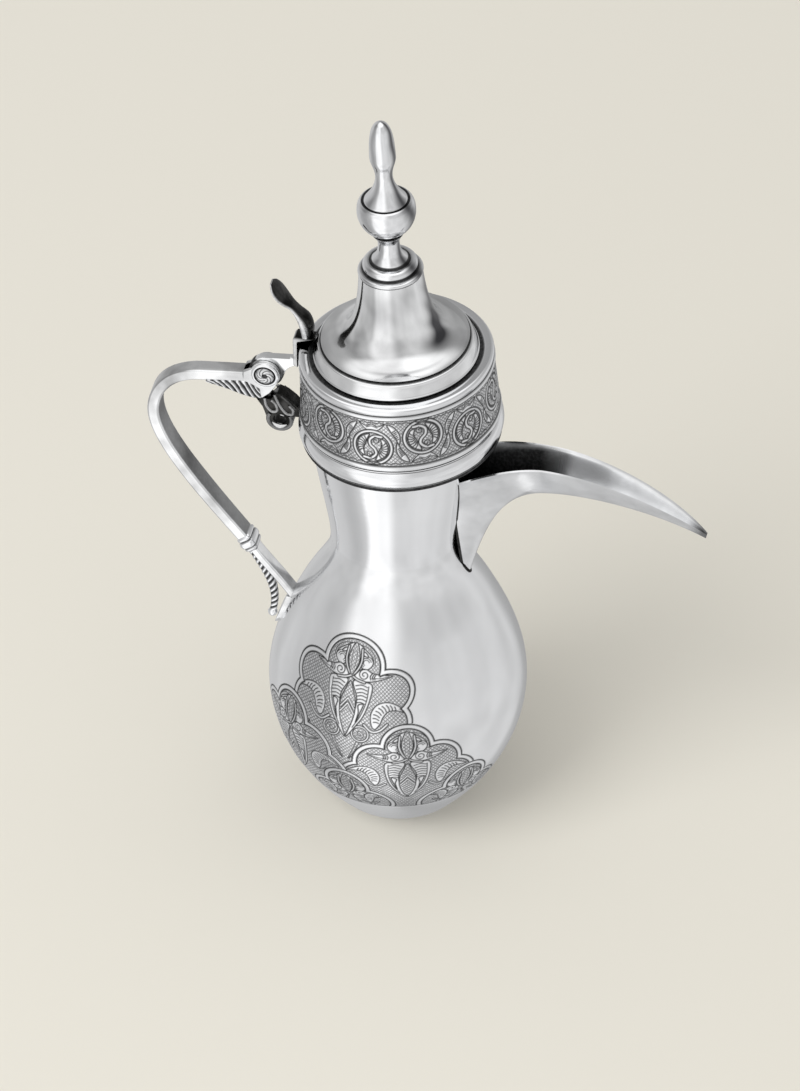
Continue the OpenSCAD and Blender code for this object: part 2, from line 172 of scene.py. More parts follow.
def hatching(tree):
    """Crossed lines on the background of the engraving. The mesh's 'sheet'
    holds the place on the flat drawing in mm and the share of background."""
    split = tree.nodes.new("ShaderNodeSeparateXYZ")
    tree.links.new(attribute(tree, "sheet", "Vector"),
                   split.inputs["Vector"])
    x, y, ground = (split.outputs[k] for k in "XYZ")
    lines = None
    for how, pitch in zip(("ADD", "SUBTRACT"), HATCH_PITCHES):
        wave = combine(tree, "SINE", combine(
            tree, "MULTIPLY", combine(tree, how, x, y), pitch), 0)
        dark = spread(tree, wave, 0.1, 0.9, 0.0, 1.0)
        lines = dark if lines is None else combine(
            tree, "MAXIMUM", lines, dark)
    stipple = spread(tree, noise(tree, 1300.0, 2.0), 0.46, 0.58, 0.0, 0.5)
    lines = combine(tree, "MAXIMUM", lines, stipple)
    return combine(tree, "MULTIPLY", ground,
                   spread(tree, lines, 0.0, 1.0, 0.06, 0.70))


# Colour of the painted dark reflections on lid and finial
PAINTED_REFLECTION_DARK = (0.07, 0.07, 0.075)
# Near black of the patina in cut lines and of the painted shade, and the
# roughness there
PATINA_AND_SHADE_BLACK = (0.012, 0.012, 0.012)
PATINA_AND_SHADE_ROUGHNESS = 0.55


def silver_material(name, bright, dull, roughness, cloud=28.0, wave=0.25,
                    edge=(0.35, 0.75), hatched=False):
    """Polished silver: faint clouds of tarnish, hand-raised waves and the
    fine scratches of polishing. A darkening value on the mesh is patina in
    what is cut in, and painted shade in hollows, gaps, under lips and on
    faces turned from the light; a second value paints dark reflections on
    the smooth lid and finial."""
    material, tree, shader = node_material(name, bright, roughness)
    tarnish = spread(tree, noise(tree, cloud, 3.0), *edge, 0.0, 1.0)
    plain = mixed(tree, tarnish, bright, dull)
    # patina in the cuts, and painted shade in hollows, gaps and on shaded
    # faces
    patina_and_shade = attribute(tree, "patina_and_shade")
    patina_and_shade_mask = combine(
        tree, "MULTIPLY", patina_and_shade,
        spread(tree, noise(tree, 900.0, 2.0), 0.3, 0.6, 0.94, 1.0))
    if hatched:
        patina_and_shade_mask = combine(tree, "MAXIMUM", patina_and_shade_mask, hatching(tree))
    # painted dark reflections where the mesh's cast value is high
    plain = mixed(tree, attribute(tree, "cast"), plain, PAINTED_REFLECTION_DARK)
    colour = mixed(tree, patina_and_shade_mask, plain, PATINA_AND_SHADE_BLACK)
    tree.links.new(colour, shader.inputs["Base Color"])
    polish = spread(tree, noise(tree, 140.0, 5.0), 0.3, 0.7,
                    roughness * 0.8, roughness * 1.35)
    rough = combine(tree, "MAXIMUM", polish,
                    combine(tree, "MULTIPLY", patina_and_shade, PATINA_AND_SHADE_ROUGHNESS))
    tree.links.new(rough, shader.inputs["Roughness"])
    scratches = noise(tree, 420.0, 2.0, 0.5, (1, 1, 9))
    waves = combine(tree, "MULTIPLY", noise(tree, 34.0, 1.0), wave * 12)
    height = combine(tree, "ADD", combine(tree, "MULTIPLY", scratches, 0.05),
                     waves)
    bumped(tree, shader, height, 0.25, 0.0004)
    return material


SILVER = silver_material(
    "silver_polished", (0.95, 0.955, 0.965), (0.88, 0.885, 0.90), 0.09)
LID_SILVER = silver_material(
    "silver_lid", (0.96, 0.965, 0.97), (0.60, 0.60, 0.605), 0.10, 30.0, 0.9,
    (0.47, 0.68))
CHASED = silver_material(
    "silver_chased", (0.94, 0.945, 0.955), (0.86, 0.865, 0.875), 0.13,
    hatched=True)
HANDLE_SILVER = silver_material(
    "silver_handle", (0.93, 0.935, 0.94), (0.42, 0.42, 0.42), 0.13, 48.0,
    0.8, (0.46, 0.70))
SPOUT_SILVER = silver_material(
    "silver_spout", (0.90, 0.905, 0.915), (0.66, 0.665, 0.67), 0.13, 70.0,
    0.9)


def dark_material():
    """Oxidised silver, nearly black in the hollows and rubbed bright where
    the mesh's 'rubbed' value is high."""
    material, tree, shader = node_material(
        "silver_oxidised", (0.05, 0.05, 0.05), 0.28)
    blotch = spread(tree, noise(tree, 160.0, 5.0), 0.4, 0.72, 0.0, 1.0)
    base = mixed(tree, blotch, (0.012, 0.012, 0.011), (0.09, 0.088, 0.085))
    wear_and_shade = combine(
        tree, "MULTIPLY", attribute(tree, "rubbed"),
        spread(tree, noise(tree, 520.0, 3.0), 0.25, 0.6, 0.6, 1.0))
    colour = mixed(tree, wear_and_shade, base, (0.84, 0.84, 0.84))
    tree.links.new(colour, shader.inputs["Base Color"])
    tree.links.new(
        spread(tree, noise(tree, 260.0, 4.0), 0.3, 0.7, 0.2, 0.42),
        shader.inputs["Roughness"])
    bumped(tree, shader, noise(tree, 700.0, 4.0), 0.35, 0.0003)
    return material


DARK = dark_material()

# ------------------------------------------------------- general shaping

LEAN = math.radians(2.4)
LEAN_Z = 240.0
# Edges sharper than this many degrees stay sharp
SMOOTH_ANGLE = 32.0
# Points of one place on a mesh are merged within this distance in metres
SAME_PLACE = 1e-7


def leaning(points):
    """The tilt of collar and lid towards the handle."""
    p = np.array(points, float)
    x, z = p[:, 0].copy(), p[:, 2] - LEAN_Z
    p[:, 0] = x * math.cos(LEAN) - z * math.sin(LEAN)
    p[:, 2] = x * math.sin(LEAN) + z * math.cos(LEAN) + LEAN_Z
    return p


def make(name, points, faces, body, material, replaces=(), normals=None,
         values=None, smooth_angle=SMOOTH_ANGLE):
    """Makes one piece from points in millimetres. Its values are numbers
    or vectors at its points, by name, for the materials."""
    mesh = bpy.data.meshes.new(name)
    mesh.from_pydata((np.asarray(points, float) * MM).tolist(), [], faces)
    mesh.validate()
    if normals is None:
        work = bmesh.new()
        work.from_mesh(mesh)
        bmesh.ops.recalc_face_normals(work, faces=work.faces)
        work.to_mesh(mesh)
        work.free()
    for key, value in (values or {}).items():
        value = np.asarray(value, np.float32)
        if value.ndim == 2:
            layer = mesh.attributes.new(key, "FLOAT_VECTOR", "POINT")
            layer.data.foreach_set("vector", value.ravel())
        else:
            layer = mesh.attributes.new(key, "FLOAT", "POINT")
            layer.data.foreach_set("value", value)
    mesh.shade_smooth()
    if normals is None:
        mesh.set_sharp_from_angle(angle=math.radians(smooth_angle))
    else:
        mesh.normals_split_custom_set_from_vertices(normals)
    piece = bpy.data.objects.new(name, mesh)
    SCENE.collection.objects.link(piece)
    mesh.materials.append(material)
    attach(piece, body)
    if replaces:
        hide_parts(*replaces)
    return piece


def bezier(points, count=24):
    """Points on the cubic curve of four control points."""
    p = np.array(points, float)
    t = np.linspace(0, 1, count + 1)[:, None]
    return (p[0] * (1 - t) ** 3 + 3 * p[1] * t * (1 - t) ** 2
            + 3 * p[2] * t * t * (1 - t) + p[3] * t ** 3)


def joined(*runs):
    """Runs of points as one line, without a point twice at a join."""
    out = [np.atleast_2d(np.asarray(runs[0], float))]
    for run in runs[1:]:
        run = np.atleast_2d(np.asarray(run, float))
        skip = 1 if np.allclose(run[0], out[-1][-1]) else 0
        out.append(run[skip:])
    return np.vstack(out)


def spline(points, step=0.35, closed=False):
    """A smooth line through the points (centripetal Catmull-Rom)."""
    p = np.array(points, float)
    if closed:
        p = np.vstack([p[-1], p, p[:2]])
    else:
        p = np.vstack([2 * p[0] - p[1], p, 2 * p[-1] - p[-2]])
    out = []
    for a, b, c, d in zip(p[:-3], p[1:-2], p[2:-1], p[3:]):
        n = max(2, int(np.linalg.norm(c - b) / step))
        t = np.linspace(0, 1, n, endpoint=False)[:, None]
        out.append(0.5 * (2 * b + (c - a) * t
                          + (2 * a - 5 * b + 4 * c - d) * t ** 2
                          + (3 * b - a - 3 * c + d) * t ** 3))
    return np.vstack(out + [p[-2:-1]])


def rounded(corners):
    """Closed outline through corners (x, z, radius), each one rounded."""
    out = []
    for i, (x, z, radius) in enumerate(corners):
        here = np.array((x, z))
        back = np.array(corners[i - 1][:2]) - here
        ahead = np.array(corners[(i + 1) % len(corners)][:2]) - here
        lb, la = np.linalg.norm(back), np.linalg.norm(ahead)
        back, ahead = back / lb, ahead / la
        half = math.acos(max(-1, min(1, float(back @ ahead)))) / 2
        cut = min(radius / math.tan(half), 0.48 * lb, 0.48 * la)
        start, end = here + back * cut, here + ahead * cut
        for t in np.linspace(0, 1, 7):
            out.append(start * (1 - t) ** 2 + 2 * here * t * (1 - t)
                       + end * t * t)
    return np.array(out)


def round_turn(count):
    """Angles of evenly spaced points round a circle."""
    return np.arange(count) * 2 * math.pi / count


def arc(x, z, radius, start, end, count=16):
    """Points on an arc, with its angles in degrees."""
    a = np.radians(np.linspace(start, end, count))
    return np.stack([x + radius * np.cos(a), z + radius * np.sin(a)], -1)


def spun(profile, columns):
    """Points of a (radius, height) line turned round the pot's axis."""
    a = round_turn(columns)
    r, z = profile[:, 0][:, None], profile[:, 1][:, None]
    return np.stack([r * np.cos(a), r * np.sin(a), z + 0 * a],
                    -1).reshape(-1, 3)


def ring_faces(rows, columns):
    """Faces between closed rings of points that follow each other."""
    return [(i * columns + k, i * columns + (k + 1) % columns,
             (i + 1) * columns + (k + 1) % columns, (i + 1) * columns + k)
            for i in range(rows - 1) for k in range(columns)]


def lathe(name, profile, body, material, replaces, columns=256, values=None):
    """Turns a closed outline (radius, height) round the leaning axis of
    collar and lid. A value is one number for each point of the outline, or
    a function of the angle from the -Y side towards the spout and height."""
    rows = len(profile)
    points = leaning(spun(profile, columns))
    z = profile[:, 1][:, None]
    turn = (np.degrees(round_turn(columns)) + 270) % 360 - 180
    faces = []
    for i in range(rows):
        j = (i + 1) % rows
        if not profile[i, 0] and not profile[j, 0]:
            continue
        for a in range(columns):
            b = (a + 1) % columns
            faces.append((i * columns + a, j * columns + a,
                          j * columns + b, i * columns + b))
    values = {key: value(turn[None, :], z).ravel() if callable(value)
              else np.repeat(value, columns)
              for key, value in values.items()}
    welded(make(name, points, faces, body, material, replaces,
                values=values))


def welded(piece):
    """Merges the points that lie in one place."""
    work = bmesh.new()
    work.from_mesh(piece.data)
    bmesh.ops.remove_doubles(work, verts=work.verts, dist=SAME_PLACE)
    work.to_mesh(piece.data)
    work.free()


def sweep(name, stations, body, material, replaces=(), values=None,
          smooth_angle=SMOOTH_ANGLE):
    """Skin over closed rings of equal length, with flat ends."""
    rings = np.asarray(stations, float)
    n, m = rings.shape[:2]
    faces = ring_faces(n, m)
    faces.append(tuple(range(m - 1, -1, -1)))
    faces.append(tuple((n - 1) * m + i for i in range(m)))
    return make(name, rings.reshape(-1, 3), faces, body, material, replaces,
                values=values, smooth_angle=smooth_angle)


def tangents(line):
    """Unit directions along a line."""
    d = np.gradient(line, axis=0)
    return d / np.linalg.norm(d, axis=1)[:, None]


def tube(name, line, radius, rubbed, sides=12):
    """Dark rod along a line in space; its radius may change along it."""
    line = np.asarray(line, float)
    radius = np.broadcast_to(radius, len(line))
    along = tangents(line)
    side = np.cross(along, (0, 1, 0))
    weak = np.linalg.norm(side, axis=1) < 0.2
    side[weak] = np.cross(along[weak], (1, 0, 0))
    side /= np.linalg.norm(side, axis=1)[:, None]
    other = np.cross(along, side)
    turn = round_turn(sides)
    rings = (line[:, None] + radius[:, None, None]
             * (side[:, None] * np.cos(turn)[None, :, None]
                + other[:, None] * np.sin(turn)[None, :, None]))
    sweep(name, rings, "pot", DARK,
          values={"rubbed": np.full(len(rings) * sides, rubbed)},
          smooth_angle=60.0)


def plate(name, outline, y_low, y_high, bevel, body, material, replaces=(),
          values=None):
    """Flat piece with an (x, z) outline and softly rounded rims. Its values
    are functions of its points."""
    work = bmesh.new()
    low = [work.verts.new((x * MM, y_low * MM, z * MM)) for x, z in outline]
    face = work.faces.new(low)
    made = bmesh.ops.extrude_face_region(work, geom=[face])["geom"]
    for v in made:
        if isinstance(v, bmesh.types.BMVert):
            v.co.y = y_high * MM
    rims = [e for e in work.edges
            if abs(e.verts[0].co.y - e.verts[1].co.y) < SAME_PLACE]
    bmesh.ops.bevel(work, geom=rims, offset=bevel * MM, segments=3,
                    profile=0.6, affect="EDGES")
    bmesh.ops.triangulate(
        work, faces=[f for f in work.faces if len(f.verts) > 4])
    bmesh.ops.recalc_face_normals(work, faces=work.faces)
    points = [tuple(c / MM for c in v.co) for v in work.verts]
    work.verts.index_update()
    faces = [tuple(v.index for v in f.verts) for f in work.faces]
    work.free()
    values = {k: f(np.array(points)) for k, f in (values or {}).items()}
    make(name, points, faces, body, material, replaces, values=values,
         smooth_angle=40.0)


# ------------------------------------------------- engraving on a flat sheet


class Sheet:
    """A flat drawing in millimetres: 'cut' is the depth of the engraved
    lines from 0 to 1, 'ground' is 1 where the background is hatched."""

    def __init__(self, x0, y0, x1, y1, step=0.1):
        self.x0, self.y0, self.step = x0, y0, step
        self.nx = int(round((x1 - x0) / step)) + 1
        self.ny = int(round((y1 - y0) / step)) + 1
        self.cut = np.zeros((self.ny, self.nx), np.float32)
        self.ground = np.ones((self.ny, self.nx), np.float32)

    def window(self, low, high):
        """Slices of the grid between two corners, and their places."""
        i0 = max(0, int((low[0] - self.x0) / self.step))
        j0 = max(0, int((low[1] - self.y0) / self.step))
        i1 = min(self.nx, int((high[0] - self.x0) / self.step) + 2)
        j1 = min(self.ny, int((high[1] - self.y0) / self.step) + 2)
        if i1 <= i0 or j1 <= j0:
            return None
        x = self.x0 + np.arange(i0, i1) * self.step
        y = self.y0 + np.arange(j0, j1) * self.step
        return (slice(j0, j1), slice(i0, i1)), *np.meshgrid(x, y)

    def distance(self, line, reach):
        """Distance to a line within its neighbourhood, and that window."""
        found = self.window(line.min(0) - reach, line.max(0) + reach)
        if found is None:
            return None
        where, x, y = found
        best = np.full(x.shape, 1e9, np.float32)
        for a, b in zip(line[:-1], line[1:]):
            low = np.minimum(a, b) - reach
            high = np.maximum(a, b) + reach
            i0 = max(0, int((low[0] - x[0, 0]) / self.step))
            i1 = int((high[0] - x[0, 0]) / self.step) + 2
            j0 = max(0, int((low[1] - y[0, 0]) / self.step))
            j1 = int((high[1] - y[0, 0]) / self.step) + 2
            xs, ys = x[j0:j1, i0:i1], y[j0:j1, i0:i1]
            if xs.size == 0:
                continue
            d = b - a
            t = np.clip(((xs - a[0]) * d[0] + (ys - a[1]) * d[1])
                        / max(float(d @ d), 1e-9), 0, 1)
            near = np.hypot(xs - a[0] - t * d[0], ys - a[1] - t * d[1])
            np.minimum(best[j0:j1, i0:i1], near, out=best[j0:j1, i0:i1])
        return where, best

    def line(self, points, width=0.55, smooth=True):
        """A cut line."""
        line = spline(points) if smooth else np.array(points, float)
        found = self.distance(line, width)
        if found is None:
            return
        where, d = found
        groove = np.clip(1.5 * (1 - d / (width * 0.75)), 0, 1)
        self.cut[where] = np.maximum(self.cut[where], groove)

    def ribbon(self, points, width, edge=0.5, smooth=True, closed=False):
        """A plain band with a cut line on each side, over what it crosses."""
        line = (spline(points, closed=closed) if smooth
                else np.array(points, float))
        found = self.distance(line, width / 2 + edge)
        if found is None:
            return
        where, d = found
        inside = d < width / 2
        self.cut[where][inside] = 0
        self.ground[where][inside] = 0
        groove = np.clip(1.5 * (1 - np.abs(d - width / 2) / (edge * 0.75)),
                         0, 1)
        self.cut[where] = np.maximum(self.cut[where], groove)

    def leaf(self, points, edge=0.5, smooth=True, plain=True):
        """A closed shape, cut round its edge and plain inside."""
        line = (spline(points, closed=True) if smooth
                else np.array(list(points) + [points[0]], float))
        found = self.window(line.min(0) - 1, line.max(0) + 1)
        if found is None:
            return
        where, x, y = found
        inside = np.zeros(x.shape, bool)
        for (ax, ay), (bx, by) in zip(line[:-1], line[1:]):
            if ay == by:
                continue
            crosses = (ay > y) != (by > y)
            inside ^= crosses & (x < (bx - ax) * (y - ay) / (by - ay) + ax)
        self.cut[where][inside] = 0
        if plain:
            self.ground[where][inside] = 0
        self.line(line, edge, smooth=False)

    def ribs(self, a, b, count, bend=0.0, width=0.44):
        """Short curved lines between two guide lines."""
        a, b = spline(a, 0.1), spline(b, 0.1)
        for t in (np.arange(count) + 0.5) / count:
            p, q = a[int(t * (len(a) - 1))], b[int(t * (len(b) - 1))]
            d = q - p
            middle = (p + q) / 2 + bend * np.array((-d[1], d[0]))
            self.line([p, middle, q], width)

    def spiral(self, centre, radius, turns=1.6, start=0.0, hand=1,
               width=0.45, inner=0.25):
        """A spiral line that winds in to a share of its radius."""
        t = np.linspace(0, 1, 40)
        angle = math.radians(start) + hand * turns * 2 * math.pi * t
        r = radius * (1 - (1 - inner) * t)
        self.line(np.stack([centre[0] + r * np.cos(angle),
                            centre[1] + r * np.sin(angle)], -1), width,
                  smooth=False)

    def sample(self, x, y, layer):
        """Value of a layer at points of the sheet, by linear mixing."""
        u = np.clip((x - self.x0) / self.step, 0, self.nx - 1.001)
        v = np.clip((y - self.y0) / self.step, 0, self.ny - 1.001)
        i, j = u.astype(int), v.astype(int)
        fu, fv = u - i, v - j
        return (layer[j, i] * (1 - fu) * (1 - fv)
                + layer[j, i + 1] * fu * (1 - fv)
                + layer[j + 1, i] * (1 - fu) * fv
                + layer[j + 1, i + 1] * fu * fv)


def both(draw, points, *args, **kinds):
    """Draws something and its mirror image."""
    draw(points, *args, **kinds)
    draw([(-x, y) for x, y in points], *args, **kinds)


def bird_motif(sheet, top, tall):
    """Winged palmette of the cartouches: an almond between two fans, two
    wings with spirals, and a long pointed body with ribs and chevrons."""
    def at(points):
        return [(x, top + y) for x, y in points]

    # arches that follow the top lobe
    both(sheet.line, at([(0, -3.4), (4.6, -4.4), (7.4, -7.2), (8, -10.5)]),
         0.4)
    # fans beside the almond
    both(sheet.leaf, at([(0.6, -3.6), (3.8, -5.2), (6.6, -7.6), (7.2, -10.2),
                         (5.6, -12.2), (3.4, -12.0), (2.4, -9.0)]))
    for r in (2.5, 1.8, 1.1):
        for side in (-1, 1):
            sheet.spiral((side * 4.7, top - 9.9), r, 0.62,
                         20 if side > 0 else 160, side, 0.36, 0.95)
    both(sheet.leaf, at([(2.2, -5.8), (4.0, -6.2), (5.2, -7.6), (3.6, -7.4)]))
    # body: two long leaves that meet in a point
    deep = -40.0 if tall else -39.0
    both(sheet.leaf, at([(1.0, -17.5), (5.6, -17.0), (8.3, -18.2),
                         (8.0, -24), (6.4, -30), (3.6, -35), (0.2, deep),
                         (1.6, -34), (3.0, -28), (3.0, -23)]))
    both(sheet.line, at([(7.0, -18.4), (6.9, -24), (5.3, -30),
                         (2.6, -35.4)]), 0.4)
    for side in (-1, 1):
        guide = at([(side * 2.0, -18.4), (side * 3.2, -22.5),
                    (side * 3.3, -26.0)])
        rim = at([(side * 6.5, -18.2), (side * 6.7, -22.5),
                  (side * 6.2, -26.0)])
        sheet.ribs(guide, rim, 6, 0.14 * side)
    both(sheet.leaf, at([(4.0, -26.2), (5.9, -25.6), (5.0, -29.0),
                         (3.7, -33.0), (4.4, -29.0)]))
    sheet.leaf(at([(0, -17.6), (1.5, -21.0), (2.9, -25.5), (2.7, -31),
                   (1.3, -36.0), (0, deep + 1), (-1.3, -36.0), (-2.7, -31),
                   (-2.9, -25.5), (-1.5, -21.0)]), plain=False)
    # chevrons
    for drop in (0.0, -2.0):
        sheet.ribbon(at([(-2.6, -28.0 + drop), (0, -24.2 + drop),
                         (2.6, -28.0 + drop)]), 0.8, 0.36, smooth=False)
    # wings and spirals
    both(sheet.leaf, at([(0.8, -16.6), (4.6, -16.9), (9.0, -16.2),
                         (14.8, -13.8), (10.4, -13.6), (7.4, -13.2),
                         (5.0, -12.2), (2.6, -13.2)]))
    both(sheet.line, at([(7.6, -15.2), (10.6, -14.9), (13.6, -14.0)]), 0.36)
    for side in (-1, 1):
        sheet.spiral((side * 4.7, top - 14.4), 2.1, 1.5,
                     90, side, 0.42, 0.2)
    for side in (1, -1):
        sheet.ribs(at([(side * 7.0, -15.8), (side * 9.2, -15.6)]),
                   at([(side * 7.2, -13.4), (side * 9.2, -14.0)]), 3,
                   side * 0.2)
    # ribbons that cross under the almond
    both(sheet.ribbon, at([(-2.6, -5.2), (-2.9, -10.0), (-1.2, -14.2),
                           (1.8, -16.4), (5.2, -17.2)]), 0.9)
    sheet.leaf(at([(0, -3.0), (1.5, -6.0), (2.1, -9.4), (1.3, -12.8),
                   (0, -15.2), (-1.3, -12.8), (-2.1, -9.4), (-1.5, -6.0)]),
               plain=False)
    both(sheet.line, at([(0.7, -6.2), (0.9, -9.4), (0.5, -12.6)]), 0.3)


def side_leaves(sheet, top, x, y, size):
    """Ribbed comma leaves beside the body, each with a hook below it."""
    for side in (-1, 1):
        def at(points):
            return [(side * (x + size * u), top + y + size * v)
                    for u, v in points]
        sheet.leaf(at([(-3.6, -5.6), (-4.2, -1.4), (-2.6, 2.2), (0.8, 3.6),
                       (4.6, 2.6), (8.2, -0.4), (4.6, 0.6), (1.8, 0.2),
                       (0.2, -2.0), (-0.6, -4.6), (-2.2, -6.8)]))
        sheet.ribs(at([(-2.9, -4.8), (-3.2, -1.4), (-1.6, 1.4), (1.0, 2.6),
                       (4.4, 1.9)]),
                   at([(-1.2, -4.8), (-1.0, -2.2), (0.4, -0.2), (2.2, 0.6),
                       (4.8, 0.9)]), 9, 0.1 * side)
        sheet.ribbon(at([(-6.2, -5.6), (-3.4, -7.9), (-0.6, -7.2),
                         (1.8, -4.6)]), 1.0 * size)


def lower_stems(sheet, top):
    """Round spirals on stems under the tall cartouche's body."""
    for side in (-1, 1):
        def at(points):
            return [(side * u, top + v) for u, v in points]
        for shift in (0.0, 1.3, 2.5):
            sheet.line(at([(4.6 + shift, -40.5), (3.0 + shift * 0.7, -45.0),
                           (0.9 + shift * 0.25, -50.0)]), 0.4)
        sheet.ribbon(at(arc(5.6, -37.6, 3.1, 0, 360, 13)[:-1]), 0.9,
                     closed=True)
        sheet.spiral((side * 5.6, top - 37.6), 2.0, 1.5, 200, side, 0.4,
                     0.15)


# Lobes of each cartouche: circles (x, y below its top, radius)
LOBES = {
    "low": ((0, -9.4, 9.4), (7.2, -19.4, 9.4), (-7.2, -19.4, 9.4),
            (8.5, -30, 9.0), (-8.5, -30, 9.0), (0, -24, 11)),
    "middle": ((0, -10.2, 10.2), (10.8, -18.2, 9.8), (-10.8, -18.2, 9.8),
               (16, -27.6, 10), (-16, -27.6, 10), (0, -26, 16),
               (10, -40, 14), (-10, -40, 14), (0, -46, 12)),
    "tall": ((0, -12.2, 12.2), (14.4, -20.5, 9.6), (-14.4, -20.5, 9.6),
             (15, -32, 9.5), (-15, -32, 9.5), (0, -26, 18), (0, -44, 18),
             (0, -60, 20))}
# Cartouches from the lowest layer to the highest: kind, degrees from the -Y
# side towards the spout, and top along the profile in millimetres
PANELS = ([("tall", a, 102.0) for a in (-12.0, 168.0)]
          + [("middle", a, 70.0) for a in (16.5, -44.0, 196.5, 136.0)]
          + [("low", -14.0 + 60.0 * k, 45.0) for k in range(6)])
# Width of the plain band inside each cartouche's outline
BAND = 2.1
# Where the engraving starts and ends along the profile
LOW_S, HIGH_S = 21.5, 104.0


def cartouche_sheets():
    """Draws one sheet for each kind of cartouche, with its top at y = 0."""
    low = Sheet(-20, -26, 20, 2)
    bird_motif(low, 0, False)
    side_leaves(low, 0, 9.0, -15.5, 0.8)
    middle = Sheet(-28, -50, 28, 2)
    side_leaves(middle, 0, 14.2, -24.0, 1.0)
    bird_motif(middle, 0, False)
    tall = Sheet(-28, -62, 28, 2)
    lower_stems(tall, 0)
    side_leaves(tall, 0, 13.4, -27.5, 1.05)
    bird_motif(tall, 0, True)
    return {"low": low, "middle": middle, "tall": tall}


# ----------------------------------------------------------------- belly

BELLY = joined(bezier([(24.0, 1.6), (33.8, 13), (46.4, 30), (46.4, 52)], 80),
               bezier([(46.4, 52), (46.4, 64), (41.7, 76), (34.9, 90)], 60),
               bezier([(34.9, 90), (30, 100), (22.9, 107), (22.9, 118)], 50))
NECK = bezier([(22.9, 118), (23, 129), (28, 148), (29.4, 167)], 90)
WALL = 0.65
# Radius at which the hatching of the belly is laid out flat
SHEET_R = 45.0
# Patina of a full cut
CUT_PATINA = 0.97
FAR = 99.0


def run_length(line):
    """Distance along a line at each of its points."""
    return np.concatenate(
        [[0], np.cumsum(np.hypot(*np.diff(line, axis=0).T))])


BELLY_RUN = run_length(BELLY)
BELLY_LENGTH = BELLY_RUN[-1]


def belly_at(s):
    """Radius and height at a distance along the profile."""
    return (np.interp(s, BELLY_RUN, BELLY[:, 0]),
            np.interp(s, BELLY_RUN, BELLY[:, 1]))


def belly_slope(s):
    """Direction of the profile at a distance along it."""
    r1, z1 = belly_at(np.clip(s + 0.4, 0, BELLY_LENGTH))
    r0, z0 = belly_at(np.clip(s - 0.4, 0, BELLY_LENGTH))
    length = np.hypot(r1 - r0, z1 - z0)
    return (r1 - r0) / length, (z1 - z0) / length


def weave(x, y, pitches):
    """Height from 0 to 1 of crossed hatching lines at a place."""
    return 0.5 + 0.25 * (np.sin((x + y) * pitches[0])
                         + np.sin((x - y) * pitches[1]))


def belly_engraving(angle, s):
    """What the belly carries at points, whose angles are in degrees from
    the -Y side towards the spout: depth of cut in millimetres, darkness,
    share of hatched ground, and distance outside the nearest cartouche."""
    r = belly_at(s)[0]
    sheets = cartouche_sheets()
    depth = np.zeros(angle.shape, np.float32)
    dark = np.zeros(angle.shape, np.float32)
    field = np.zeros(angle.shape, np.float32)
    margin = np.full(angle.shape, FAR, np.float32)
    for kind, centre, top in PANELS:
        turn = (angle - centre + 180) % 360 - 180
        x = np.radians(turn) * r
        y = s - top
        near = (np.abs(x) < 27) & (y < 2)
        xs, ys = x[near], y[near]
        edge = np.full(xs.shape, FAR)
        for cx, cy, radius in LOBES[kind]:
            np.minimum(edge, np.hypot(xs - cx, ys - cy) - radius, out=edge)
        sheet = sheets[kind]
        inner = edge < -BAND - 0.25
        cut = np.where(inner, sheet.sample(xs, ys, sheet.cut), 0)
        ground = np.where(inner, sheet.sample(xs, ys, sheet.ground), 0)
        for at, width in ((-0.25, 0.50), (-BAND, 0.52)):
            rim = np.clip(1.5 * (1 - np.abs(edge - at) / width), 0, 1)
            cut = np.maximum(cut, rim)
        hatch = weave(np.radians(angle[near]) * SHEET_R, s[near],
                      HATCH_PITCHES)
        covered = edge < 0.12
        for grid, new in (
                (depth, np.maximum(0.16 * cut, ground * (0.04 + 0.08
                                                         * hatch))),
                (dark, CUT_PATINA * cut), (field, ground)):
            grid[near] = np.where(covered, new, grid[near])
        margin[near] = np.minimum(margin[near], edge)
    low = s < LOW_S
    line = np.clip(1.5 * (1 - np.abs(s - LOW_S) / 0.4), 0, 1)
    under = margin < 0
    depth[low], dark[low], field[low] = 0, 0, 0
    depth = np.maximum(depth, 0.15 * line * under)
    dark = np.maximum(dark, 0.9 * line * under)
    margin[s < LOW_S - 1.2] = 9
    return depth, dark, field, margin


# The grid of the belly: its rows start at this place along the profile, a
# step apart, and a plain block of them is one face
BLOCK, COLUMNS = 4, 1024
GRID_S, GRID_STEP = 18.0, 0.285
# The seam of the two halves in degrees, beside the handle and the spout
SEAM = -103.0


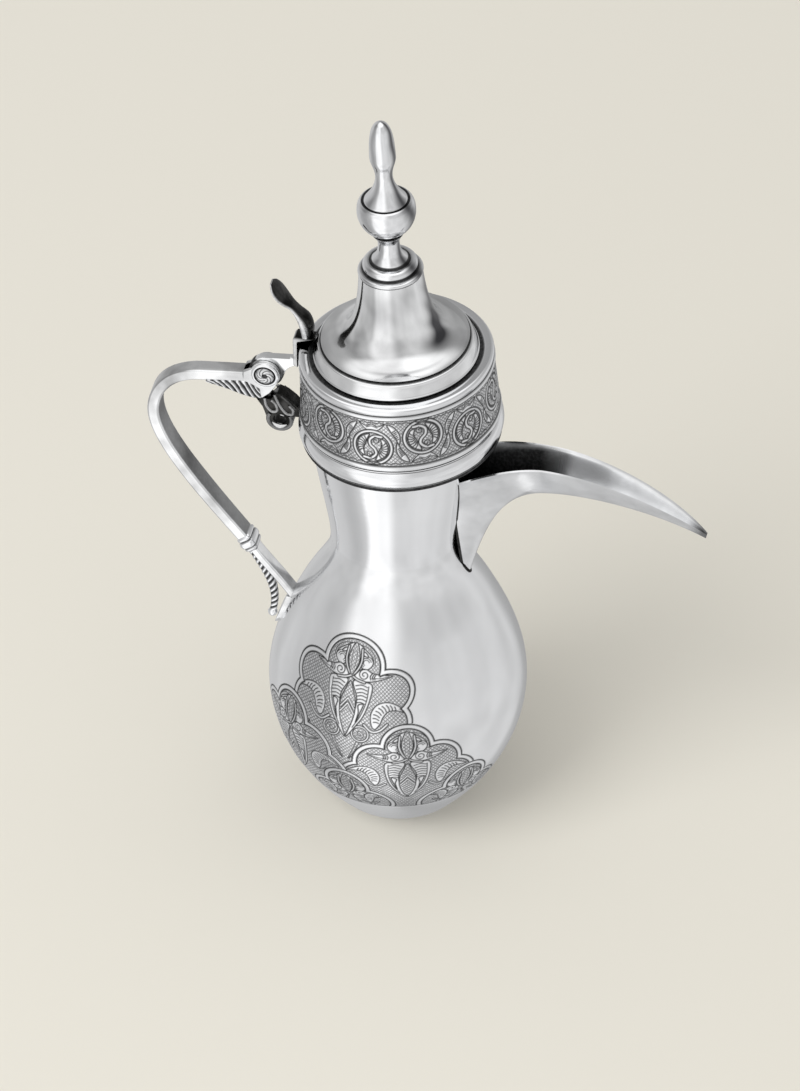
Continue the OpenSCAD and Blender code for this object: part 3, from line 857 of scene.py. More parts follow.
def make_belly():
    """Two half shells. The grid is fine where the belly is engraved and
    four times coarser where it is plain."""
    fine_rows = int(round((HIGH_S - GRID_S) / GRID_STEP / BLOCK)) * BLOCK
    s_rows = GRID_S + GRID_STEP * np.arange(fine_rows + 1)
    degrees = np.arange(COLUMNS + 1) * 360.0 / COLUMNS + SEAM
    angle, s = np.meshgrid(degrees, s_rows)
    depth, dark, field, margin = belly_engraving(angle, s)
    # the last column repeats the first one
    for grid in (depth, dark, field, margin):
        grid[:, -1] = grid[:, 0]
    nb, mb = fine_rows // BLOCK, COLUMNS // BLOCK
    busy = np.zeros((nb, mb), bool)
    for i in range(BLOCK + 1):
        for j in range(BLOCK + 1):
            busy |= margin[i:i + nb * BLOCK:BLOCK,
                           j:j + mb * BLOCK:BLOCK] < 0.6
    used = np.zeros(angle.shape, bool)
    used[::BLOCK, ::BLOCK] = True
    for i in range(BLOCK + 1):
        for j in range(BLOCK + 1):
            used[i:i + nb * BLOCK:BLOCK, j:j + mb * BLOCK:BLOCK] |= busy
    below = np.arange(0, GRID_S - 0.5, 1.25)
    above = np.linspace(s_rows[-1], BELLY_LENGTH, 22)[1:]
    for name, c0, c1 in (("belly_front", 0, COLUMNS // 2),
                         ("belly_back", COLUMNS // 2, COLUMNS)):
        build_half(name, c0, c1, s_rows, degrees, depth, dark, field, busy,
                   used, below, above)


def shell_points(s, degrees, depth):
    """Points and normals of the belly at a depth below its outside."""
    r, z = belly_at(s)
    dr, dz = belly_slope(s)
    a = np.radians(degrees)
    rr, zz = r - dz * depth, z + dr * depth
    points = np.stack([rr * np.sin(a), -rr * np.cos(a), zz], -1)
    normals = np.stack([dz * np.sin(a), -dz * np.cos(a), -dr + 0 * a], -1)
    return points, normals


def build_half(name, c0, c1, s_rows, degrees, depth, dark, field, busy,
               used, below, above):
    """The shell between two columns of the grid, with an inner skin."""
    index = np.full(used.shape, -1)
    keep = used.copy()
    keep[:, :c0] = False
    keep[:, c1 + 1:] = False
    index[keep] = np.arange(keep.sum())
    rows, columns = np.nonzero(keep)
    points, normals = shell_points(s_rows[rows], degrees[columns],
                                   depth[rows, columns])
    shade = dark[rows, columns]
    cut = depth[rows, columns]
    sheet = np.stack([np.radians(degrees[columns]) * SHEET_R, s_rows[rows],
                      field[rows, columns]], -1)
    faces = []
    for bi, bj in zip(*np.nonzero(busy[:, c0 // BLOCK:c1 // BLOCK])):
        r0, k0 = bi * BLOCK, c0 + bj * BLOCK
        block = index[r0:r0 + BLOCK + 1, k0:k0 + BLOCK + 1]
        quads = np.stack([block[:-1, :-1], block[:-1, 1:], block[1:, 1:],
                          block[1:, :-1]], -1).reshape(-1, 4)
        faces.extend(quads.tolist())
    for bi, bj in zip(*np.nonzero(~busy[:, c0 // BLOCK:c1 // BLOCK])):
        r0, k0 = bi * BLOCK, c0 + bj * BLOCK
        block = index[r0:r0 + BLOCK + 1, k0:k0 + BLOCK + 1]
        ring = np.concatenate([block[0, :], block[1:, -1],
                               block[-1, -2::-1], block[-2:0:-1, 0]])
        faces.append([int(v) for v in ring if v >= 0])
    # plain zones below and above, and the inside of the sheet
    coarse = np.arange(c0, c1 + 1, BLOCK)
    blocks = [(points, normals, shade, cut)]
    total = len(points)

    def add_rows(s_values, offset):
        nonlocal total
        s, a = np.meshgrid(s_values, degrees[coarse], indexing="ij")
        p, n = shell_points(s.ravel(), a.ravel(), np.full(s.size, offset))
        blocks.append((p, n if offset == 0 else -n, np.zeros(s.size),
                       np.zeros(s.size)))
        ids = total + np.arange(s.size).reshape(s.shape)
        total += s.size
        return ids

    low_rows = add_rows(below, 0.0)
    high_rows = add_rows(above, 0.0)
    inside = add_rows(np.linspace(0, BELLY_LENGTH, 90), WALL)
    low_rows = np.vstack([low_rows, index[0, coarse]])
    high_rows = np.vstack([index[-1, coarse], high_rows])
    for grid, reverse in ((low_rows, False), (high_rows, False),
                          (inside, True)):
        a, b, c, d = (grid[:-1, :-1], grid[:-1, 1:], grid[1:, 1:],
                      grid[1:, :-1])
        order = (a, d, c, b) if reverse else (a, b, c, d)
        faces.extend(np.stack(order, -1).reshape(-1, 4).tolist())
    for outer, inner in ((low_rows[0], inside[0]),
                         (high_rows[-1], inside[-1])):
        faces.extend(np.stack([outer[:-1], inner[:-1], inner[1:], outer[1:]],
                              -1).reshape(-1, 4).tolist())
    for column, fine in ((0, c0), (-1, c1)):
        middle = [int(v) for v in index[:, fine] if v >= 0]
        outer = (low_rows[:-1, column].tolist() + middle
                 + high_rows[1:, column].tolist())
        rim = outer + inside[::-1, column].tolist()
        faces.append(rim if column == 0 else rim[::-1])
    points = np.vstack([b[0] for b in blocks])
    analytic = np.vstack([b[1] for b in blocks])
    shade = np.concatenate([b[2] for b in blocks])
    cut = np.concatenate([b[3] for b in blocks])
    # the mesh's own normals in the cuts, and the profile's elsewhere
    plain = bpy.data.meshes.new("normals_of_half")
    plain.from_pydata(points.tolist(), [], faces)
    found = np.zeros(len(points) * 3, np.float32)
    plain.vertex_normals.foreach_get("vector", found)
    bpy.data.meshes.remove(plain)
    found = found.reshape(-1, 3)
    flip = np.sign(np.sum(found * analytic, 1))
    found = found * np.where(flip == 0, 1, flip)[:, None]
    normals = np.where((cut > 0.002)[:, None], found, analytic)
    seam = np.zeros(len(points), bool)
    for fine in (c0, c1):
        ids = index[:, fine]
        seam[ids[ids >= 0]] = True
    normals[seam] = analytic[seam]
    sheet = np.vstack([sheet, np.zeros((len(points) - len(sheet), 3))])
    make(name, points, faces, "pot", CHASED, ("belly",),
         normals=normals.tolist(),
         values={"patina_and_shade": shade, "sheet": sheet})


make_belly()

# ---------------------------------------------------------- collar and lid


def outline(*runs):
    """Joins runs of (r, z) or (r, z, darkening) into one list. The darkening
    is patina in grooves and painted shade in the gaps between pieces and under
    lips.
    """
    return np.array([(*point, 0.0)[:3] for run in runs for point in run])


def turned(name, runs, body, material, node, cast=None, columns=256):
    """A turned piece that stands for one node."""
    line = outline(*runs)
    values = {"patina_and_shade": line[:, 2]}
    if cast:
        values["cast"] = cast
    lathe(name, line[:, :2], body, material, (node,), columns, values)


def sheet_outline(line, thickness):
    """Closed outline of a bent sheet whose outside is the line."""
    d = tangents(np.asarray(line, float))
    inner = line + thickness * np.stack([-d[:, 1], d[:, 0]], -1)
    return np.vstack([line, inner[::-1]])


# The skirt is near black under its lower lip, a painted shadow, and darker
# just below the band.
turned("skirt_moulding", [
    [(25.0, 165.7, 0.97), (33.9, 165.7, 0.97), (34.3, 165.25, 0.97),
     (34.7, 164.95, 0.97), (35.1, 165.1, 0.97), (35.35, 165.5, 0.97),
     (35.4, 165.9, 0.97), (35.2, 166.3, 0.97), (35.25, 166.7, 0.6)],
    arc(31.6, 169.6, 4.6, -35, 44, 26),
    [(34.75, 173.0, 0.9), (34.8, 173.25, 0.9), (35.1, 173.45, 0.2),
     (35.15, 173.8, 0.0), (35.1, 174.0, 0.4)],
    [(34.35, 174.0), (34.35, 172.4), (34.7, 171.0), (34.8, 168.4),
     (33.8, 166.5), (25.0, 166.5)]],
    "pot", SILVER, "collar_skirt")

turned("mouth_rim", [
    [(33.35, 197.9), (33.95, 197.9, 0.9), (34.05, 198.15, 0.5)],
    arc(32.85, 199.15, 1.35, -26, 84, 18),
    [(31.6, 200.5), (31.0, 200.5), (30.7, 200.42, 0.8), (30.3, 200.3, 0.97),
     (29.0, 200.3, 0.97), (27.9, 200.3, 0.97), (27.6, 200.1, 0.9),
     (27.6, 199.1, 0.7), (31.4, 199.1)]],
    "pot", SILVER, "collar_rim")

turned("lid_step", [
    [(27.6, 200.65, 0.6), (28.7, 200.62, 0.8)],
    arc(28.75, 201.1, 0.45, -70, 60, 8),
    bezier([(28.85, 201.6), (28.5, 202.6), (28.0, 204.2), (27.4, 205.3)], 8),
    arc(26.75, 205.3, 0.65, 10, 100, 8),
    [(26.62, 206.0, 0.7), (26.45, 206.15, 0.97), (26.1, 206.25, 0.97),
     (26.05, 206.3, 0.9), (24.7, 206.3), (24.9, 205.3), (27.6, 201.7)]],
    "lid", LID_SILVER, "lid_rim")

BELL = bezier([(26.1, 207.0), (14.5, 208.4), (12.4, 220.0), (11.2, 235.6)],
              90)


def bell_painted_reflection(turn, height):
    """Painted dark reflections on the bell, in cloudy patches."""
    total = 0 * turn + 0 * height
    # (angle, reach, height, reach, depth) of each patch
    for a, wa, h, wh, depth in (
            (72, 18, 211.4, 2.6, 0.85), (88, 17, 215.5, 5.5, 0.9),
            (98, 20, 226, 11, 0.8), (-6, 30, 225, 8.5, 0.46),
            (16, 12, 214.5, 3.0, 0.3), (-40, 10, 214.5, 5, 0.35),
            (-62, 12, 210.2, 2.0, 0.6), (-80, 12, 226, 10, 0.5),
            (40, 14, 231, 6, 0.3), (150, 30, 214, 6, 0.5),
            (-140, 30, 220, 8, 0.4)):
        ripple = 3.0 * np.sin(turn / 7.0 + height * 0.8)
        away = (turn + ripple - a + 180) % 360 - 180
        total = total + depth * np.exp(-(away / wa) ** 2
                                       - ((height - h) / wh) ** 2)
    # a thin painted dark reflection line round the bell's foot
    foot = np.exp(-((height - 207.75) / 0.22) ** 2)
    foot = foot * np.clip(1 - np.abs(turn - 18) / 48, 0, 1)
    return np.clip(total + 0.55 * foot, 0, 1)


def edge_painted_reflection(turn, height):
    """Painted dark reflection on the edges, darker towards the spout and
    thinner beside the handle.
    """
    ripple = 5.0 * np.sin(height * 0.5)
    right = np.exp(-((turn + ripple - 73) / 20) ** 2)
    left = np.exp(-((turn + ripple + 36) / 20) ** 2)
    return np.clip(0.93 * right + 0.42 * left, 0, 1)


turned("bell", [[(25.5, 206.55, 0.97), (26.0, 206.7, 0.97)],
                [(*point, 0.0) for point in BELL],
                sheet_outline(BELL, WALL)[len(BELL):-1]],
       "lid", LID_SILVER, "lid_bell", bell_painted_reflection, 320)

turned("crown", [
    [(1.5, 235.6), (11.0, 235.6, 0.9), (11.15, 235.75, 0.7)],
    arc(10.65, 236.45, 0.85, -55, 80, 14),
    [(10.3, 237.35, 0.6), (9.9, 237.45, 0.95), (9.35, 237.6, 0.95)],
    arc(7.7, 238.9, 2.0, -32, 84, 18),
    [(7.3, 240.8, 0.6), (6.9, 240.85, 0.8), (1.5, 240.8)]],
    "lid", SILVER, "crown_ring", edge_painted_reflection)

turned("stem", [
    [(1.5, 240.8), (7.3, 240.85, 0.97), (6.9, 241.1, 0.97),
     (6.4, 241.4, 0.9)],
    bezier([(6.2, 241.6), (4.6, 243.3), (3.7, 244.8), (3.8, 248.8)], 18),
    bezier([(3.8, 248.8), (3.9, 250.3), (4.9, 251.2), (5.4, 252.2)], 8),
    [(5.5, 252.5, 0.9), (5.8, 253.0, 0.97), (1.5, 253.0)]],
    "lid", SILVER, "finial_stem", edge_painted_reflection, 160)

turned("ball", [
    [(1.5, 253.0), (4.6, 253.0, 0.97), (5.2, 253.3, 0.9)],
    arc(0.0, 262.2, 10.3, -57.5, 8.0, 50),
    bezier([(10.2, 263.6), (10.1, 265.2), (9.5, 266.3), (8.7, 266.75)], 14),
    [(8.45, 266.75, 0.97), (8.1, 266.5, 0.97), (7.3, 266.5, 0.97),
     (1.5, 266.5)]],
    "lid", SILVER, "finial_ball", edge_painted_reflection)

turned("bud", [
    [(0.0, 266.5), (7.2, 266.5, 0.97), (7.65, 266.6, 0.97),
     (7.7, 266.8, 0.7)],
    bezier([(7.6, 267.1), (5.2, 269.6), (2.6, 273.8), (3.1, 278.3)], 24),
    bezier([(3.1, 278.3), (3.5, 281.8), (4.6, 282.8), (4.6, 285.3)], 16)[1:],
    bezier([(4.6, 285.3), (4.5, 292.8), (3.9, 299.8), (0.0, 300.0)],
           24)[1:]],
    "lid", SILVER, "finial_bud", edge_painted_reflection, 160)

# --------------------------------------------------------- engraved band

BAND_LOW, BAND_HIGH = 174.0, 197.9
FIELD_LOW, FIELD_HIGH = 176.9, 195.7
BAND_PERIOD = 36.65
BAND_LOW_R, BAND_HIGH_R = 35.3, 34.0
BAND_PITCHES = (5.1, 5.3)
LEAF_EDGE = 0.58
# Radius at which the hatching of the band is laid out flat
BAND_SHEET_R = 35.0


def scroll(sheet, cx, cy, hand):
    """Ring with an S-shaped tongue between two curled ribbed leaves."""
    def at(points):
        return [(cx + hand * u, cy + v) for u, v in points]

    def rim(radius, start, end):
        return at(arc(0, 0, radius, start, end, 7))

    sheet.ribbon(arc(cx, cy, 6.8, 0, 360, 19)[:-1], 1.3, 0.66, closed=True)
    sheet.leaf(at([(1.0, -5.6), (4.4, -3.6), (5.6, -0.2), (4.6, 3.0),
                   (3.0, 3.6), (3.4, 1.2), (2.4, -1.2), (1.6, -3.2)]),
               LEAF_EDGE)
    sheet.ribs(rim(5.3, -62, 30), rim(3.2, -46, 26), 7, 0.16 * hand, 0.5)
    sheet.leaf(at([(-1.0, 5.6), (-4.4, 3.8), (-5.6, 0.4), (-4.8, -2.8),
                   (-3.0, -3.6), (-3.4, -1.0), (-2.6, 1.2), (-1.8, 3.4)]),
               LEAF_EDGE)
    sheet.ribs(rim(5.3, 118, 210), rim(3.2, 134, 206), 7, 0.16 * hand, 0.5)
    sheet.ribbon(at([(3.4, 4.6), (0.9, 4.7), (-0.9, 3.2), (-0.8, 1.0),
                     (0.8, -0.8), (1.1, -2.8), (-0.8, -4.6), (-3.4, -4.5)]),
                 1.3, 0.6)
    sheet.spiral((cx + hand * 1.2, cy + 2.9), 1.5, 1.2, 100, -hand, 0.55)
    sheet.spiral((cx - hand * 1.0, cy - 2.9), 1.5, 1.2, 280, -hand, 0.55)


def make_band_sheet():
    """Draws one period of the band: two rings with leaves between them."""
    high = FIELD_HIGH - FIELD_LOW
    sheet = Sheet(0, 0, BAND_PERIOD, high)
    half = BAND_PERIOD / 2
    for start in (-1, 0, 1, 2):
        x = start * BAND_PERIOD
        for side in (-1, 1):
            # split leaves that fill the gaps between the rings
            upper = [(5.6, 17.4), (8.2, 16.2), (10.0, 12.8), (9.6, 8.8),
                     (8.4, 11.6), (6.8, 14.4)]
            lower = [(12.8, 1.4), (10.2, 2.6), (8.5, 6.0), (8.9, 9.8),
                     (10.2, 7.0), (11.8, 4.4)]
            for shape in (upper, lower):
                sheet.leaf([(x + side * u, v) for u, v in shape], LEAF_EDGE)
            for rib in ((8.4, 15.4, 9.6, 11.0, 7.2, 14.6, 8.8, 10.6),
                        (10.2, 3.4, 9.0, 7.4, 11.4, 4.4, 10.0, 7.8)):
                ends = [(x + side * u, v) for u, v in zip(rib[::2],
                                                          rib[1::2])]
                sheet.ribs(ends[:2], ends[2:], 6, 0.1)
        for cx, up in ((x, 1), (x + half, -1)):
            y = high if up > 0 else 0
            sheet.leaf([(cx - 4.6, y - up * 1.3), (cx - 2.2, y - up * 2.3),
                        (cx, y - up * 1.4), (cx + 2.2, y - up * 2.3),
                        (cx + 4.6, y - up * 1.3), (cx + 2.6, y - up * 3.6),
                        (cx, y - up * 4.4), (cx - 2.6, y - up * 3.6)])
            sheet.line([(cx - 2.0, y - up * 2.9), (cx, y - up * 2.2),
                        (cx + 2.0, y - up * 2.9)], 0.4)
        scroll(sheet, x, 7.5, 1)
        scroll(sheet, x + half, high - 7.5, -1)
    x = np.arange(-2, BAND_PERIOD + 2, 0.25)
    wave = 0.5 * np.abs(np.sin(x * math.pi * 12 / BAND_PERIOD))
    for y in (0.5 + wave, high - 0.5 - wave):
        sheet.line(np.stack([x, y], -1), 0.5, smooth=False)
    return sheet


def make_band():
    """The band's engraved outside and its plain inside."""
    sheet = make_band_sheet()
    columns = 960
    z = np.concatenate([np.linspace(BAND_LOW, FIELD_LOW - 0.05, 12),
                        np.linspace(FIELD_LOW, FIELD_HIGH, 68),
                        np.linspace(FIELD_HIGH + 0.05, BAND_HIGH, 9)])
    degrees = np.arange(columns) * 360.0 / columns
    a, zz = np.meshgrid(degrees, z)
    share = (zz - BAND_LOW) / (BAND_HIGH - BAND_LOW)
    r = BAND_LOW_R + (BAND_HIGH_R - BAND_LOW_R) * share
    x = ((a + 3.0) % 60.0) / 60.0 * BAND_PERIOD
    y = zz - FIELD_LOW
    field = (zz >= FIELD_LOW) & (zz <= FIELD_HIGH)
    cut = np.where(field, sheet.sample(x, y, sheet.cut), 0)
    ground = np.where(field, sheet.sample(x, y, sheet.ground), 0)
    depth = np.maximum(0.18 * cut, ground * (
        0.06 + 0.06 * weave(x, y, BAND_PITCHES)))
    dark = CUT_PATINA * cut
    # bright ridges above and below the field, with dark grooves beside them
    for middle, half_w in ((175.5, 0.95), (196.75, 0.75)):
        t = np.clip(1 - ((zz - middle) / half_w) ** 2, 0, 1)
        depth = depth - 0.42 * np.sqrt(t)
    for groove in (174.2, 176.62, 195.88, 197.75):
        t = np.clip(1 - np.abs(zz - groove) / 0.42, 0, 1)
        depth = depth + 0.12 * t
        dark = np.maximum(dark, 0.95 * np.clip(2 * t, 0, 1))
    angle = np.radians(a)
    rr = r - depth
    points = np.stack([rr * np.sin(angle), -rr * np.cos(angle), zz],
                      -1).reshape(-1, 3)
    back = []
    for height, radius in ((BAND_HIGH, 33.35), (186.0, 34.0),
                           (BAND_LOW, 34.65)):
        back.append(np.stack([radius * np.sin(angle[0]),
                              -radius * np.cos(angle[0]),
                              np.full(columns, height)], -1))
    points = leaning(np.vstack([points] + back))
    shade = np.concatenate([dark.ravel(), np.zeros(3 * columns)])
    place = np.stack([angle * BAND_SHEET_R, zz, ground], -1).reshape(-1, 3)
    place = np.vstack([place, np.zeros((3 * columns, 3))])
    total = len(z) + len(back)
    ids = np.arange(total * columns).reshape(total, columns)
    across = np.roll(ids, -1, axis=1)
    below = np.roll(ids, -1, axis=0)
    corner = np.roll(across, -1, axis=0)
    faces = np.stack([ids, across, corner, below], -1).reshape(-1, 4)
    make("engraved_band", points, faces.tolist(), "pot", CHASED,
         ("collar_band",), values={"patina_and_shade": shade, "sheet": place},
         smooth_angle=70.0)


make_band()

# ----------------------------------------------------------------- spout

# Each is two cubic curves: (x, z) of the keel, (x, z, half width) of a lip
KEEL = ([(25, 94), (31, 123), (38, 142.5), (54, 144.3)],
        [(54, 144.3), (66, 146.3), (92, 143.5), (112, 132.8)])
LIP = ([(22, 149.5, 10.5), (30, 155, 11.5), (42, 159.7, 8.6),
        (54, 159.7, 7.5)],
       [(54, 159.7, 7.5), (70, 159.7, 7.0), (97, 149, 6.2),
        (112.4, 134.4, 1.0)])
SPOUT_WALL = 0.9


def core_radius(z):
    """Outer radius of belly and neck at a height."""
    line = joined(BELLY, NECK)
    return np.interp(z, line[:, 1], line[:, 0])


def core_mesh(grow=0.0):
    """Solid of revolution that fills belly and neck."""
    line = joined([(0.0, 1.6)], BELLY, NECK, [(0.0, 167.0)])
    line[1:-1, 0] += grow
    columns = 256
    mesh = bpy.data.meshes.new("core")
    mesh.from_pydata((spun(line, columns) * MM).tolist(), [],
                     ring_faces(len(line), columns))
    work = bmesh.new()
    work.from_mesh(mesh)
    bmesh.ops.remove_doubles(work, verts=work.verts, dist=SAME_PLACE)
    bmesh.ops.dissolve_degenerate(work, edges=work.edges, dist=1e-8)
    bmesh.ops.recalc_face_normals(work, faces=work.faces)
    work.to_mesh(mesh)
    work.free()
    return mesh


def carved(piece, cutter_mesh, angle=SMOOTH_ANGLE):
    """Takes the cutter's volume away from a piece."""
    cutter = bpy.data.objects.new("cutter", cutter_mesh)
    SCENE.collection.objects.link(cutter)
    change = piece.modifiers.new("carve", "BOOLEAN")
    change.operation = "DIFFERENCE"
    change.solver = "EXACT"
    change.object = cutter
    graph = bpy.context.evaluated_depsgraph_get()
    mesh = bpy.data.meshes.new_from_object(piece.evaluated_get(graph))
    piece.modifiers.clear()
    old = piece.data
    name = old.name
    material = old.materials[0]
    piece.data = mesh
    mesh.materials.clear()
    mesh.materials.append(material)
    bpy.data.meshes.remove(old)
    mesh.name = name
    bpy.data.objects.remove(cutter)
    mesh.shade_smooth()
    mesh.set_sharp_from_angle(angle=math.radians(angle))


def trough_width(share, roundness):
    """Half width of the trough at a share of its height, from 0 to 1."""
    return roundness * np.sqrt(share) + (1 - roundness) * share ** 2.4


def make_spout():
    """The open trough, carved to the body, with a dark line at the joint."""
    count = 60
    keel, lips = (joined(bezier(first, count), bezier(second, count))
                  for first, second in (KEEL, LIP))
    share = np.linspace(0, 1, 22) ** 1.25
    rings, shades, seam = [], [], []
    for k, (low, high) in enumerate(zip(keel, lips)):
        step = 10 * k / count if k <= count else 10 + 12 * (k - count) / count
        roundness = min(0.35 + 0.045 * step, 0.85)
        top = high[:2]
        up = (top - low) / np.linalg.norm(top - low)
        sides = {}
        for sign in (-1, 1):
            for inner in (False, True):
                base = low + up * SPOUT_WALL * 1.3 * inner
                half_w = max(high[2] - SPOUT_WALL * inner, 0.1)
                p = base[None] + (top - base)[None] * share[:, None]
                y = sign * half_w * trough_width(share, roundness)
                sides[sign, inner] = np.stack([p[:, 0], y, p[:, 1]], -1)
        bead = []
        for sign in (-1, 1):
            middle = (sides[sign, False][-1] + sides[sign, True][-1]) / 2
            bead.append(middle + np.array((up[0], 0, up[1])) * 0.45)
        ring = np.vstack([sides[-1, False][::-1], sides[1, False][1:],
                          bead[1][None], sides[1, True][::-1],
                          sides[-1, True][1:], bead[0][None]])
        rings.append(ring)
        # painted shade inside near the root, and darker again at the very tip
        deep = np.clip((63 - top[0]) / 11, 0, 1) ** 0.7
        inside = np.concatenate([
            np.zeros(len(share) * 2 - 1), [0.0],
            0.98 * deep * np.clip(1.6 - share[::-1] ** 4, 0, 1),
            0.98 * deep * np.clip(1.6 - share[1:] ** 4, 0, 1), [0.0]])
        tip = np.clip((top[0] - 106) / 5, 0, 1) * 0.75
        shades.append(np.maximum(inside, tip))
        seam.append(ring[:len(share) * 2 - 1])
    piece = sweep("spout_trough", rings, "pot", SPOUT_SILVER,
                  ("spout",), values={"patina_and_shade": np.concatenate(shades)},
                  smooth_angle=50.0)
    carved(piece, core_mesh(), 50.0)
    # where the outer skin leaves the body
    seam = np.array(seam)
    line = []
    for i in range(seam.shape[1]):
        run = seam[:, i]
        gap = np.hypot(run[:, 0], run[:, 1]) - core_radius(run[:, 2])
        outside = np.nonzero(gap > 0)[0]
        if len(outside) and outside[0] > 0:
            k = outside[0]
            t = gap[k - 1] / (gap[k - 1] - gap[k])
            line.append(run[k - 1] + t * (run[k] - run[k - 1]))
    line = spline(line, 0.6)
    middle = np.abs(np.linspace(-1, 1, len(line)))
    tube("spout_joint", line, 0.22 + 0.36 * (1 - middle), 0.0, 10)


make_spout()

# ---------------------------------------------------------------- handle

PIN_X, PIN_Z = 45.0, 184.4
BAR_T, BAR_W = 4.2, 6.4


def box_ring(width, height, radius, count=4):
    """Rounded rectangle round the origin: (across, up) points."""
    out = []
    for sx, sy, start in ((1, 1, 0), (-1, 1, 90), (-1, -1, 180),
                          (1, -1, 270)):
        a = np.radians(np.linspace(start, start + 90, count))
        out.append(np.stack([sx * (width / 2 - radius) + radius * np.cos(a),
                             sy * (height / 2 - radius)
                             + radius * np.sin(a)], -1))
    return np.vstack(out)


def along_line(line, sections):
    """Rings for a line of (x, z) points; sections are (y, out) points,
    with 'out' to the left of the line's direction."""
    line = np.asarray(line, float)
    d = tangents(line)
    rings = []
    for p, t, section in zip(line, d, sections):
        rings.append(np.stack([p[0] - t[1] * section[:, 1], section[:, 0],
                               p[1] + t[0] * section[:, 1]], -1))
    return rings


BAR = joined([(-(PIN_X + 8), PIN_Z - 2.7)],
             bezier([(-68, PIN_Z - 4.1), (-80, PIN_Z - 5.0), (-86, 171.5),
                     (-86, 162.5)], 40),
             bezier([(-86, 162.5), (-86, 150), (-72.8, 131.5),
                     (-55.4, 108.2)], 50))


# The swollen collar between bar and tail, as share of its length, swelling
# and patina
KNUCKLE = ((-55.4, 108.2), (-51.6, 102.4))
SWELL = ((0, 0.12, 0.2, 0.28, 0.34, 0.5, 0.66, 0.72, 0.8, 0.88, 1),
         (0, 0.7, 0.7, 0.1, 0.8, 1.0, 0.8, 0.1, 0.6, 0.5, -0.3))
SWELL_DARK = ((0, 0.2, 0.27, 0.34, 0.66, 0.73, 0.8, 1),
              (0, 0, 0.95, 0, 0, 0.95, 0, 0.4))


def make_handle():
    """The bar and the swollen collar at its lower end."""
    line = joined(BAR[:1], [(-60.0, PIN_Z - 3.3)], BAR[1:])
    # the bar is broader where the hand holds it
    broad = np.interp(np.arange(len(line)), (0, 14, 40, 75, len(line) - 1),
                      (0, 0, 2.4, 2.0, 1.0))
    sections = [box_ring(BAR_W + wide, BAR_T, 0.8, 5) for wide in broad]
    # painted shade: the face towards the pot is darker
    inner_shade = 0.66 + 0.10 * np.sin(np.arange(len(line)) * 0.11) ** 2
    inside = [wear_and_shade * (section[:, 1] > BAR_T / 2 - 0.05)
              for wear_and_shade, section in zip(inner_shade, sections)]
    sweep("grip", along_line(line, sections), "pot", HANDLE_SILVER,
          ("handle_bar",),
          values={"patina_and_shade": np.concatenate(inside)}, smooth_angle=28.0)
    start, end = np.array(KNUCKLE)
    t = np.linspace(0, 1, 29)
    sections = [box_ring(BAR_W + 0.8 + 1.8 * s, BAR_T + 1.8 * s, 1.5, 5)
                for s in np.interp(t, *SWELL)]
    dark = np.interp(t, *SWELL_DARK)
    line = start + (end - start) * t[:, None]
    sweep("grip_knuckle", along_line(line, sections), "pot", SILVER,
          ("handle_knuckle",),
          values={"patina_and_shade": np.repeat(dark, len(sections[0]))},
          smooth_angle=60.0)


def make_tail():
    """The tail on the belly, its feathered strip and the bead at its end."""
    line = bezier([(-51.5, 102.2), (-47.9, 96.4), (-43.6, 92),
                   (-36.8, 81.6)], 40)
    section = box_ring(5.6, 2.8, 0.6, 4)
    section[:, 1] += 0.2
    piece = sweep("tail", along_line(line, [section] * len(line)), "pot",
                  HANDLE_SILVER, ("handle_tail",))
    carved(piece, core_mesh(0.02))
    # feathered strip, cut with slanting strokes on both sides
    line = bezier([(-52.2, 101.2), (-47.6, 92.5), (-43.2, 84.5),
                   (-45.4, 74)], 170)
    run = run_length(line)
    out = np.linspace(-1, 1, 15)
    rings, shades = [], []
    for s in run:
        share = s / run[-1]
        half_w, half_t = 2.1 - 0.7 * share, 1.5 - 0.35 * share
        phase = (s * 0.42 + out * half_t * 0.30) % 1.0
        groove = np.clip(1.5 - np.abs(phase - 0.5) / 0.24, 0, 1)
        side = half_w * (1 - 0.25 * out ** 4) - 0.45 * groove
        right = np.stack([side, out * half_t], -1)
        rings.append(np.vstack([right, (right * (-1, 1))[::-1]]))
        shades.append(np.concatenate([groove, groove[::-1]]) * CUT_PATINA)
    sweep("tail_leaf", along_line(line, rings), "pot", CHASED,
          ("tail_feather",), values={"patina_and_shade": np.concatenate(shades)},
          smooth_angle=60.0)
    rows, columns = 24, 32
    points = spun(arc(0, 0, 1.75, -90, 90, rows), columns)
    welded(make("tail_bead", points + (-45.74, 0, 72.38),
                ring_faces(rows, columns), "pot", SILVER, ("tail_ball",)))


make_handle()
make_tail()

# ----------------------------------------------------------------- hinge


SIDES = (("left", -1), ("right", 1))
CHEEK_IN, CHEEK_OUT = 1.7, 3.2


def from_pin(points):
    """Places given as distance behind the pin and height above it."""
    return [(-(PIN_X + x), PIN_Z + z) for x, z in points]


def make_fork():
    """The two cheeks that carry the pin, each with its wing."""
    shape = from_pin([(20.5, -6.1), (13, -8.5), (8.5, -10.0), (4, -10.9),
                      (1.2, -10.6), (-1.4, -8.2), (-3.4, -5.2)])
    shape += arc(-PIN_X, PIN_Z, 5.3, -20, 160, 16).tolist()
    shape += from_pin([(8, 0.1), (8.2, -4.8)])
    for name, side in SIDES:
        low, high = sorted((side * CHEEK_IN, side * CHEEK_OUT))
        plate("fork_" + name, shape, low, high, 0.35, "pot", HANDLE_SILVER,
              ("fork_cheek_" + name,))
        make_wing(name, side)


